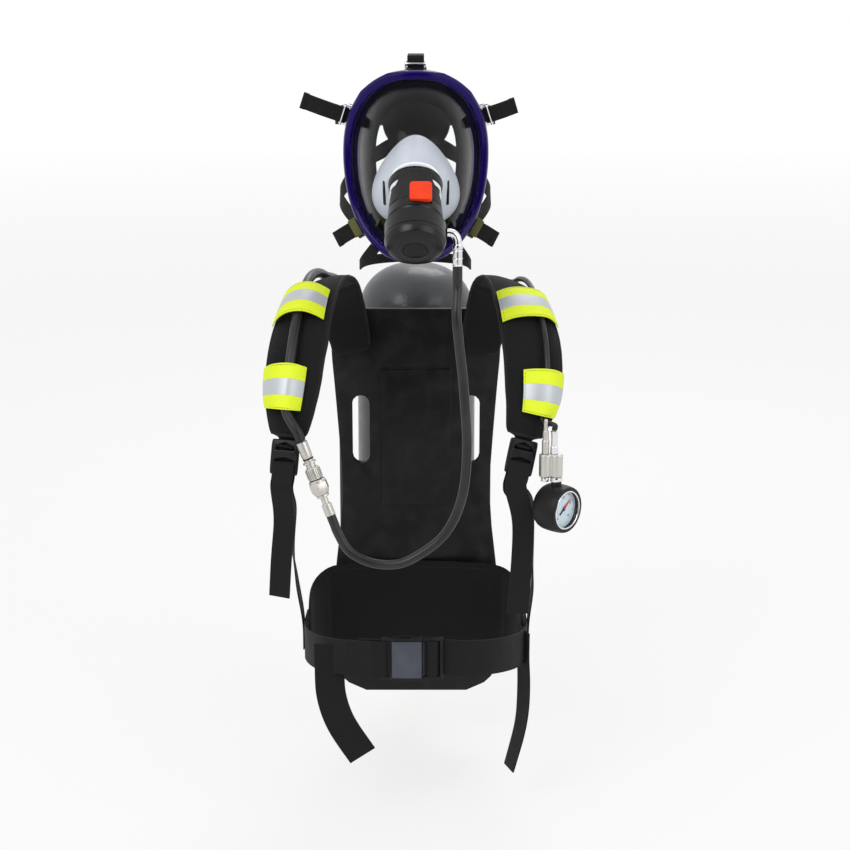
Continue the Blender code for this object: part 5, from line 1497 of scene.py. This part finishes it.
@dataclass
class ShoulderStrap:
    """One padded shoulder strap with its tapes, binding, stitching, adjuster and pull strap."""

    bench: Bench
    side: Side
    tapes: tuple[float, float]
    inner_shares: tuple[float, float]
    hose_aside: float
    hose_radius: float
    end_shift: float
    bend_share: float = 0.3
    crown: float = 0.009
    crown_power: int = 3
    seam_share: float = 0.86
    seam_places: tuple[float, float] = (0.3, 6.7)
    binding_radius: float = 0.0023
    binding_start: float = 0.15
    binding_sunk: float = 0.002
    binding_corner: float = 0.4
    grip_reaches: tuple[float, ...] = (0.0184, 0.0210, 0.0236)
    grip_lift: float = 0.0074
    grip_size: Sizes = (0.0240, 0.0012, 0.0014)
    tab_reach: float = 0.0202
    tab_lift: float = 0.0010
    tab_size: Sizes = (0.0255, 0.0242, 0.0014)
    tape_length: float = 0.047
    tape_thick: float = 0.0014
    tape_clear: float = 0.0008
    tape_edge: float = 0.46
    tape_run: tuple[float, float] = (0.02, 0.98)
    tape_ends: tuple[float, float] = (0.03, 0.97)
    outer_share: float = 0.97
    slope_reach: float = 0.02
    widths: tuple[float, ...] = (0.024, 0.030, 0.036, 0.037, 0.037, 0.037, 0.034, 0.022)

    def lines(self) -> tuple[list[Vector], list[Vector]]:
        """Centre line and across directions of the left pad.

        Returns:
            Points of the centre line, and the across direction at each.
        """
        centre = [Vector(spot) for spot in (
            (0.080, -0.0058, 0.112), (0.090, -0.0085, 0.158), (0.104, -0.0420, 0.200),
            (0.117, -0.0950, 0.213), (0.127, -0.1500, 0.198), (0.135, -0.1980, 0.162),
            (0.141 + self.end_shift * self.bend_share, -0.2280, 0.112),
            (0.145 + self.end_shift, -0.2400, 0.066))]
        across = [Vector(spot) for spot in (
            (-1.0, 0.0, 0.0), (-1.0, 0.0, 0.10), (-1.0, 0.0, 0.30), (-1.0, 0.0, 0.40),
            (-1.0, -0.15, 0.30), (-1.0, -0.25, 0.10), (-1.0, -0.25, 0.0), (-1.0, -0.20, 0.0))]
        return centre, across

    def half_width(self, place: float) -> float:
        """Half of the pad's width at a place on its centre line."""
        return curve_at([Vector((width, 0.0, 0.0)) for width in self.widths], place).x

    def directions(self, place: float) -> tuple[Vector, Vector, Vector]:
        """Along, across and outward directions of the left pad at a place on its centre line.

        Args:
            place: Where along the pad.

        Returns:
            The three directions.
        """
        centre, sides = self.lines()
        ahead, behind = (curve_at(centre, place + reach) for reach in (self.slope_reach, -self.slope_reach))
        along = (ahead - behind).normalized()
        across = curve_at(sides, place)
        across = (across - along * across.dot(along)).normalized()
        return along, across, across.cross(along)

    def mirrored(self, vector: Vector) -> Vector:
        """A vector of the left strap, on this strap's side."""
        return Vector((vector.x * self.side.value, vector.y, vector.z))

    def point(self, place: float, aside: float, lift: float) -> tuple[Vector, Vector]:
        """Point over the pad's crowned face.

        Args:
            place: Where along the pad.
            aside: Metres from its centre line.
            lift: Metres over its face.

        Returns:
            The point and the outward direction.
        """
        middle = curve_at(self.lines()[0], place)
        _, across, outward = self.directions(place)
        share = min(1.0, abs(aside) / self.half_width(place))
        spot = middle + across * aside + outward * (self.crown * (1.0 - share ** self.crown_power) + lift)
        return self.mirrored(spot), self.mirrored(outward)

    def build(self) -> None:
        """Build the pad and all that is sewn to it or hangs from it."""
        label = self.side.label
        rows = self.seam_rows()
        pad = self.bench.pad("shoulder_pad_" + label, [point for row in rows for point, _ in row])
        for name, place, share in zip(("shoulder", "chest"), self.tapes, self.inner_shares):
            self.tape("tape_%s_%s" % (name, label), place, share)
        self.binding(label, pad)
        self.bench.stitches("pad_seams_" + label, self.bench.snapped(pad, rows), pitch=0.0030)
        self.bench.refine("adjuster_" + label, FRAME_PLASTIC, bevel=0.0005, levels=1)
        self.grips(label)
        self.bench.strap("pull_strap_" + label, WEBBING)

    def tape_point(self, place: float, part: float, inner_share: float, over: float) -> tuple[Vector, Vector]:
        """Point on a tape, domed over the hose that it holds down.

        Args:
            place: Where along the pad.
            part: From 0 at the pad's outer edge to 1 at the tape's inner end.
            inner_share: The tape's inner end, in shares of the pad's half width.
            over: Metres over the tape's back.

        Returns:
            The point and the outward direction.
        """
        low = -self.half_width(place) * self.outer_share
        high = self.half_width(place) * inner_share
        aside = low + (high - low) * part
        reach = high - self.hose_aside if aside > self.hose_aside else self.hose_aside - low
        dome = 1.0 - ((aside - self.hose_aside) / reach) ** 2
        lift = self.tape_clear + 2.0 * (self.hose_radius + self.tape_clear) * dome
        return self.point(place, aside, lift + over)

    def tape(self, node: str, place: float, inner_share: float) -> None:
        """Reflective tape over the pad and its hose, sewn down along its edges.

        Args:
            node: The CAD tape that it stands for.
            place: Where along the pad.
            inner_share: Its inner end, in shares of the pad's half width.
        """
        centre, _ = self.lines()
        span = self.tape_length / (curve_at(centre, place + 0.5) - curve_at(centre, place - 0.5)).length
        self.bench.clear()
        bpy.ops.mesh.primitive_grid_add(x_subdivisions=40, y_subdivisions=14, size=1.0, calc_uvs=True)
        piece = self.bench.named("dressed_" + node)
        for vertex in piece.data.vertices:
            here = place - span * vertex.co.y
            vertex.co = self.tape_point(here, vertex.co.x + 0.5, inner_share, self.tape_thick / 2)[0]
        self.bench.hold(piece)
        bpy.ops.object.mode_set(mode="EDIT")
        bpy.ops.mesh.select_all(action="SELECT")
        if self.side is Side.RIGHT:
            bpy.ops.mesh.flip_normals()
        bpy.ops.object.mode_set(mode="OBJECT")
        self.bench.modify(piece, "SOLIDIFY", thickness=self.tape_thick, offset=0.0)
        self.bench.round_edges(piece, 0.0003)
        self.bench.dress(piece, REFLECTIVE_TAPE, "pack", (node,))
        over = (inner_share, self.tape_thick)
        rows = [[self.tape_point(place + span * share, part, *over) for part in steps(*self.tape_run, 120)]
                for share in (-self.tape_edge, self.tape_edge)]
        shares = steps(-self.tape_edge, self.tape_edge, 60)
        rows += [[self.tape_point(place + span * share, part, *over) for share in shares]
                 for part in self.tape_ends]
        self.bench.stitches("stitch_" + node, rows, pitch=0.0026)

    def binding(self, label: str, pad: Piece) -> None:
        """Folded binding round the pad's long edges and its lower end.

        Args:
            label: The wearer's side.
            pad: The finished pad.
        """
        end = float(len(self.widths) - 1)
        places = steps(self.binding_start, end, 70)
        edge = [(place, 1.0) for place in places]
        edge += [(end, self.binding_corner), (end, -self.binding_corner)]
        edge += [(place, -1.0) for place in reversed(places)]
        line = [self.point(place, share * self.half_width(place), -self.binding_sunk)
                for place, share in edge]
        points = [point for point, _ in self.bench.snapped(pad, [line])[0]]
        piece = self.bench.tube("binding_" + label, points, self.binding_radius, sides=3)
        self.bench.dress(piece, BINDING)

    def grips(self, label: str) -> None:
        """Grip ribs across the adjuster's middle bar, and the sewn webbing tab behind it.

        Args:
            label: The wearer's side.
        """
        end = float(len(self.widths) - 1)
        along, _, outward = (self.mirrored(vector) for vector in self.directions(end))
        axes = (along.cross(outward), along, outward)
        middle = self.mirrored(curve_at(self.lines()[0], end))
        spots = [middle + along * reach + outward * self.grip_lift for reach in self.grip_reaches]
        rib = self.bench.bar("grip_model", self.grip_size)
        ribs = self.bench.copies("adjuster_grips_" + label, rib, [axes_frame(spot, *axes) for spot in spots])
        self.bench.fit(ribs, Matrix(), FRAME_PLASTIC, edge=0.0004)
        tab = self.bench.bar("adjuster_tab_" + label, self.tab_size)
        self.bench.unroll(tab)
        spot = middle + along * self.tab_reach + outward * self.tab_lift
        self.bench.fit(tab, axes_frame(spot, *axes), WEBBING, edge=0.0004)

    def seam_rows(self) -> list[Row]:
        """Lines of the seams inside both bindings, on the pad's face.

        Returns:
            Lines of (point, outward) pairs.
        """
        places = steps(*self.seam_places, 260)
        return [[self.point(place, share * self.half_width(place), 0.0) for place in places]
                for share in (-self.seam_share, self.seam_share)]


@dataclass
class GaugeCluster:
    """Manifold with its whistle and the swivelling pressure gauge."""

    bench: Bench
    swivel: Vector = field(default_factory=lambda: Vector((0.161, -0.258, -0.0135)))
    yaw: float = math.radians(48)
    radius: float = 0.0222
    face: float = 0.0100
    needle_turn: float = math.radians(52)
    collar_radius: float = 0.0072
    cap_radius: float = 0.0046
    nut_length: float = 0.0050
    nut_gap: float = 0.0003
    bezel_inset: float = 0.0006
    bezel_thick: float = 0.0009
    bezel_at: float = 0.0166
    sweep: float = 270.0
    marks: tuple[tuple[int, float], ...] = ((10, 0.0030), (5, 0.0022), (1, 0.0014))
    mark_wide: float = 0.0004
    mark_thick: float = 0.0002
    mark_inset: float = 0.0028
    number_radius: float = 0.0135
    number_size: float = 0.0042
    number_thick: float = 0.0001
    needle_at: float = 0.0108
    tail_size: Sizes = (0.0022, 0.0095, 0.0006)
    tail_middle: Sizes = (0.0, -0.0040, 0.0)
    boss: tuple[float, float] = (0.0021, 0.0010)
    tip_radii: tuple[float, float] = (0.0024, 0.0003)
    tip_length: float = 0.0150
    tip_middle: Sizes = (0.0, 0.0086, 0.0)
    tip_flat: float = 0.18

    def frame(self) -> Matrix:
        """Frame on the dial's middle, Z out of its face."""
        facing = Vector((math.sin(self.yaw), -math.cos(self.yaw), 0.0))
        return facing_frame(self.swivel, Vector((0.0, 0.0, 1.0)), facing)

    def build(self) -> None:
        """Build the manifold, boot, dial, needle and lens."""
        self.bench.refine("gauge_manifold", NICKEL, bevel=0.0004, levels=1)
        self.bench.refine("gauge_ferrule", CHROME, bevel=0.0003, levels=2)
        self.bench.refine("whistle", NICKEL, bevel=0.0003, levels=2)
        self.bench.refine("gauge_boot", BOOT_RUBBER, bevel=0.0005, levels=1, body="gauge")
        self.bench.refine("gauge_lens", LENS_CLEAR, bevel=0.0003, levels=1, body="gauge")
        self.dial()
        self.needle()
        rim = self.bench.ring("gauge_bezel", self.radius - self.bezel_inset, self.bezel_thick)
        self.bench.fit(rim, self.frame() @ lifted(self.bezel_at), CHROME, body="gauge")
        self.nuts()

    def nuts(self) -> None:
        """Bright collar round the gauge's stem, and the cap under the whistle's barrel."""
        low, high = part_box("gauge_manifold")
        rows = ((self.swivel.x, self.collar_radius, "gauge"),
                (low[0] + high[0] - self.swivel.x, self.cap_radius, "pack"))
        for step, (side, radius, body) in enumerate(rows):
            nut = self.bench.cylinder("manifold_nut_%d" % step, radius, self.nut_length, sides=32)
            level = low[2] - self.nut_length - self.nut_gap
            self.bench.fit(nut, Matrix.Translation((side, self.swivel.y, level)), CHROME, edge=0.0005,
                           body=body)

    def dial(self) -> None:
        """Dial plate with its scale marks and numbers."""
        bench, frame, half = self.bench, self.frame(), self.sweep / 2
        bench.refine("gauge_dial", DIAL_FACE, bevel=0.0002, levels=1, body="gauge")
        places = []
        for step, turn in enumerate(steps(half, -half, 40)):
            tall = next(tall for every, tall in self.marks if step % every == 0)
            middle = (0.0, self.radius - self.mark_inset - tall / 2, self.face)
            shape = Matrix.Diagonal((self.mark_wide, tall, self.mark_thick, 1.0))
            spin = Matrix.Rotation(math.radians(turn), 4, "Z")
            places.append(frame @ spin @ Matrix.Translation(middle) @ shape)
        pieces = [bench.copies("dial_marks", bench.bar("mark_model", (1.0, 1.0, 1.0)), places)]
        for step, turn in enumerate(steps(half, -half, 4)):
            angle = math.radians(turn)
            spot = (-math.sin(angle) * self.number_radius, math.cos(angle) * self.number_radius, self.face)
            pieces.append(bench.place(self.number(10 * step), frame @ Matrix.Translation(spot)))
        bench.dress(bench.join(pieces, "dial_scale"), NEEDLE_BLACK, "gauge")

    def number(self, value: int) -> Piece:
        """One number of the dial, about the origin.

        Args:
            value: The number.

        Returns:
            The number's mesh.
        """
        self.bench.clear()
        bpy.ops.object.text_add()
        word = self.bench.named("number")
        word.data.body = str(value)
        word.data.size = self.number_size
        word.data.align_x = "CENTER"
        word.data.align_y = "CENTER"
        word.data.extrude = self.number_thick
        self.bench.hold(word)
        bpy.ops.object.convert(target="MESH")
        return bpy.context.object

    def needle(self) -> None:
        """Needle with a black tail, a red tip and a round boss."""
        bench = self.bench
        frame = self.frame() @ lifted(self.needle_at) @ Matrix.Rotation(-self.needle_turn, 4, "Z")
        tail = bench.bar("needle_tail", self.tail_size, self.tail_middle)
        tail = bench.join([tail, bench.cylinder("needle_boss", *self.boss, sides=24)], "needle_tail")
        bench.fit(tail, frame, NEEDLE_BLACK, edge=0.0002, body="needle", nodes=("gauge_needle",))
        bench.clear()
        base, point = self.tip_radii
        bpy.ops.mesh.primitive_cone_add(vertices=4, radius1=base, radius2=point, depth=self.tip_length,
                                        location=(0.0, 0.0, 0.0))
        tip = bench.named("needle_tip")
        flat = Matrix.Diagonal((1.0, 1.0, self.tip_flat, 1.0)) @ Matrix.Translation(self.tip_middle)
        laid = frame @ flat @ Matrix.Rotation(math.radians(-90), 4, "X")
        bench.fit(tip, laid, NEEDLE_RED, edge=0.0001, body="needle")


@dataclass
class WaistBelt:
    """Belt halves with loose tails, the release buckle and the lumbar pad."""

    bench: Bench
    plate_wide: float = 0.0360
    plate_margin: float = 0.0010
    plate_inset: float = 0.0035
    plate_thick: float = 0.0013
    ribs: int = 13
    rib_aside: float = 0.0011
    rib_inset: float = 0.007
    rib_size: Sizes = (0.0016, 0.0014, 0.0016)
    seam_inset: float = 0.011
    seam_half: float = 0.100
    seam_level: float = -0.2135
    seam_reach: float = 0.016
    seam_sides: tuple[float, ...] = (-0.0880, -0.0845)

    def build(self) -> None:
        """Build the belt, its stitching and the buckle."""
        right = self.bench.strap("belt_right", WEBBING)
        levels = steps(self.seam_level - self.seam_reach, self.seam_level + self.seam_reach, 12)
        rows = [[self.bench.front_of(right, side, level) for level in levels] for side in self.seam_sides]
        self.bench.stitches("belt_seams", rows, pitch=0.0030)
        left = self.bench.unrolled("belt_left")
        self.bench.paint(left, WEBBING)
        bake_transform(left)
        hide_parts("belt_left")
        LOG.info("%s: %d faces on pack and tongue", left.name, len(left.data.polygons))
        self.buckle()
        self.lumbar()

    def buckle(self) -> None:
        """Release buckle with a slate plate on its socket and a ribbed bar on its tongue."""
        bench = self.bench
        socket = bench.refine("buckle_socket", FRAME_PLASTIC, bevel=0.0008, levels=0, flat=FLAT_ANGLE)
        tongue = bench.refine("buckle_tongue", FRAME_PLASTIC, bevel=0.0006, levels=0, body="tongue",
                              flat=FLAT_ANGLE)
        low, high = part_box("buckle_socket")
        across = (high[0] - self.plate_wide, high[0] - self.plate_margin)
        upright = (low[2] + self.plate_inset, high[2] - self.plate_inset)
        bench.dress(bench.patch("buckle_plate", socket, across, upright, self.plate_thick), BUCKLE_PLASTIC)
        levels = steps(low[2] + self.rib_inset, high[2] - self.rib_inset, self.ribs - 1)
        spots = [bench.front_of(tongue, high[0] + self.rib_aside, level)[0] for level in levels]
        rib = bench.bar("rib_model", self.rib_size)
        ribs = bench.copies("tongue_ribs", rib, [Matrix.Translation(spot) for spot in spots])
        bench.fit(ribs, Matrix(), BUCKLE_PLASTIC, edge=0.0003, body="tongue")

    def lumbar(self) -> None:
        """Lumbar pad, sewn along its top and bottom edges."""
        low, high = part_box("lumbar_pad")
        shape = self.bench.frame["nodes"]["lumbar_pad"]
        sides = steps(-self.seam_half, self.seam_half, 120)
        rows = [[self.bench.front_of(shape, side, level) for side in sides]
                for level in (low[2] + self.seam_inset, high[2] - self.seam_inset)]
        pad = self.bench.pad("lumbar_pad", [point for row in rows for point, _ in row])
        self.bench.stitches("lumbar_seams", self.bench.snapped(pad, rows), pitch=0.0032)


@dataclass
class BackFrame:
    """Back plate, cylinder with its valve, pressure reducer and band."""

    bench: Bench

    def build(self) -> None:
        """Stand finished pieces in for the solids of the back."""
        self.bench.refine("backplate", FRAME_PLASTIC, bevel=0.0012, levels=0, flat=FLAT_ANGLE)
        self.bench.refine("cylinder", CYLINDER_PAINT, bevel=0.0, levels=2)
        self.bench.refine("cylinder_valve", BRASS, bevel=0.0005, levels=0, flat=FLAT_ANGLE)
        self.bench.refine("valve_handwheel", BOOT_RUBBER, bevel=0.0008, levels=1, body="handwheel")
        self.bench.refine("reducer", NICKEL, bevel=0.0005, levels=0, flat=FLAT_ANGLE)
        self.bench.refine("reducer_nut", BRASS, bevel=0.0005, levels=0, body="nut", flat=FLAT_ANGLE)
        self.bench.strap("cylinder_band", WEBBING)
        self.bench.refine("band_lever", CHROME, bevel=0.0005, levels=1, body="lever")


@dataclass
class Studio:
    """Camera, lamps, pale floor and white surroundings."""

    floor_level: float = -0.43
    eye: Sizes = (0.0116, -2.10, 0.56)
    pitch: float = math.radians(75.5)
    focal: float = 36.0 * 1687.0 / 850.0
    fade: tuple[float, float] = (1.2, 9.0)
    card_size: float = 2.2
    card_place: Sizes = (0.0, -3.0, 0.9)
    card_tone: float = 0.01
    floor_size: float = 460.0
    floor_tone: float = 0.88
    floor_shine: float = 0.1
    floor_white: float = 0.72
    dull: float = 0.9
    daylight: float = 0.60
    sensor: float = 36.0
    aim: Sizes = (0.0, -0.1, 0.1)
    lamps: tuple[tuple[str, Sizes, float, float], ...] = (
        ("key", (-1.5, -2.2, 2.0), 1.6, 34.0), ("fill", (1.9, -1.8, 1.2), 1.8, 16.0),
        ("rim", (0.4, 1.8, 2.2), 1.4, 22.0))

    def build(self) -> None:
        """Set the stage."""
        scene = bpy.context.scene
        scene.view_settings.view_transform = "Standard"
        self.camera(scene)
        self.world(scene)
        self.floor()
        self.card()
        for row in self.lamps:
            self.lamp(*row)

    def camera(self, scene: bpy.types.Scene) -> None:
        """Camera at the photograph's angle.

        Args:
            scene: The scene.
        """
        data = bpy.data.cameras.new("camera")
        data.lens = self.focal
        data.sensor_width = self.sensor
        camera = bpy.data.objects.new("camera", data)
        camera.location = self.eye
        camera.rotation_euler = (self.pitch, 0.0, 0.0)
        scene.collection.objects.link(camera)
        scene.camera = camera

    @staticmethod
    def seen(graph: Graph) -> Socket:
        """One for rays that show the background: camera, glossy and transmission rays.

        Args:
            graph: The material's or world's graph.

        Returns:
            The mask's socket.
        """
        path = graph.node("LightPath")
        first = graph.math("MAXIMUM", path.outputs["Is Camera Ray"], path.outputs["Is Glossy Ray"])
        return graph.math("MAXIMUM", first, path.outputs["Is Transmission Ray"])

    def world(self, scene: bpy.types.Scene) -> None:
        """White surroundings that light the object at a plain level.

        Args:
            scene: The scene.
        """
        world = bpy.data.worlds.new("studio")
        world.use_nodes = True
        scene.world = world
        graph = Graph(world.node_tree)
        back = world.node_tree.nodes["Background"]
        graph.feed(back.inputs["Strength"], graph.spread(self.seen(graph), 0.0, 1.0, self.daylight, 1.0))
        back.inputs["Color"].default_value = (1.0, 1.0, 1.0, 1.0)

    def sheet(self, name: str, tone: float, size: float,
              **place: Sizes) -> tuple[Piece, Graph, bpy.types.Node]:
        """Flat, dull piece of the stage.

        Args:
            name: The name of the piece and of its material.
            tone: Its grey tone.
            size: Side of the square.
            place: Its location and rotation.

        Returns:
            The piece, its material's graph and its shader.
        """
        bpy.ops.object.select_all(action="DESELECT")
        bpy.ops.mesh.primitive_plane_add(size=size, **place)
        piece = bpy.context.object
        piece.name = name
        made = bpy.data.materials.new(name)
        made.use_nodes = True
        piece.data.materials.append(made)
        graph = Graph(made.node_tree)
        shader = made.node_tree.nodes["Principled BSDF"]
        graph.settle(shader, {"Base Color": (tone, tone, tone, 1.0), "Roughness": self.dull})
        return piece, graph, shader

    def floor(self) -> None:
        """Wide pale floor, white to the camera apart from the shadow."""
        level = (0.0, 0.0, self.floor_level)
        floor, graph, shader = self.sheet("floor", self.floor_tone, self.floor_size, location=level)
        shader.inputs["Specular IOR Level"].default_value = self.floor_shine
        glow = graph.node("Emission")
        blend = graph.node("MixShader")
        away = graph.node("VectorMath", operation="LENGTH")
        graph.feed(away.inputs[0], graph.node("TexCoord").outputs["Object"])
        share = graph.spread(away.outputs["Value"], *self.fade, self.floor_white, 1.0)
        sources = (graph.math("MULTIPLY", self.seen(graph), share), shader.outputs[0], glow.outputs[0])
        for socket, source in zip(blend.inputs, sources):
            graph.feed(socket, source)
        graph.feed(graph.tree.nodes["Material Output"].inputs["Surface"], blend.outputs[0])
        floor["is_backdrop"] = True

    def card(self) -> None:
        """Dark card behind the camera, there for glossy rays alone, so that metal shows light and dark."""
        card, _, _ = self.sheet("dark_card", self.card_tone, self.card_size, location=self.card_place,
                                rotation=(math.radians(90.0), 0.0, 0.0))
        for ray in ("camera", "diffuse", "transmission", "shadow"):
            setattr(card, "visible_" + ray, False)
        card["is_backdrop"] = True

    def lamp(self, name: str, place: Sizes, size: float, power: float) -> None:
        """Soft square lamp turned to the object.

        Args:
            name: The lamp's name.
            place: Where it hangs.
            size: Side of the square.
            power: Power in watts.
        """
        data = bpy.data.lights.new(name, "AREA")
        data.size = size
        data.energy = power
        lamp = bpy.data.objects.new(name, data)
        lamp.location = place
        lamp.rotation_euler = (Vector(self.aim) - Vector(place)).to_track_quat("-Z", "Y").to_euler()
        bpy.context.scene.collection.objects.link(lamp)


def main() -> None:
    """Build the stage and the sub-assemblies in order."""
    logging.basicConfig(level=logging.INFO, format="%(name)s %(message)s")
    bench = Bench()
    Studio().build()
    assemblies = [
        AirHoses(bench), MaskUnit(bench), DemandValve(bench), HeadHarness(bench), QuickCoupling(bench),
        ShoulderStrap(bench, Side.RIGHT, (4.12, 5.93), (0.78, 0.50), 0.0, 0.0065, 0.0),
        ShoulderStrap(bench, Side.LEFT, (4.15, 6.00), (0.90, 0.42), -0.012, 0.0036, -0.020),
        GaugeCluster(bench), WaistBelt(bench), BackFrame(bench)]
    for assembly in assemblies:
        assembly.build()
        LOG.info("%s done", type(assembly).__name__)


if __name__ == "__main__":
    main()
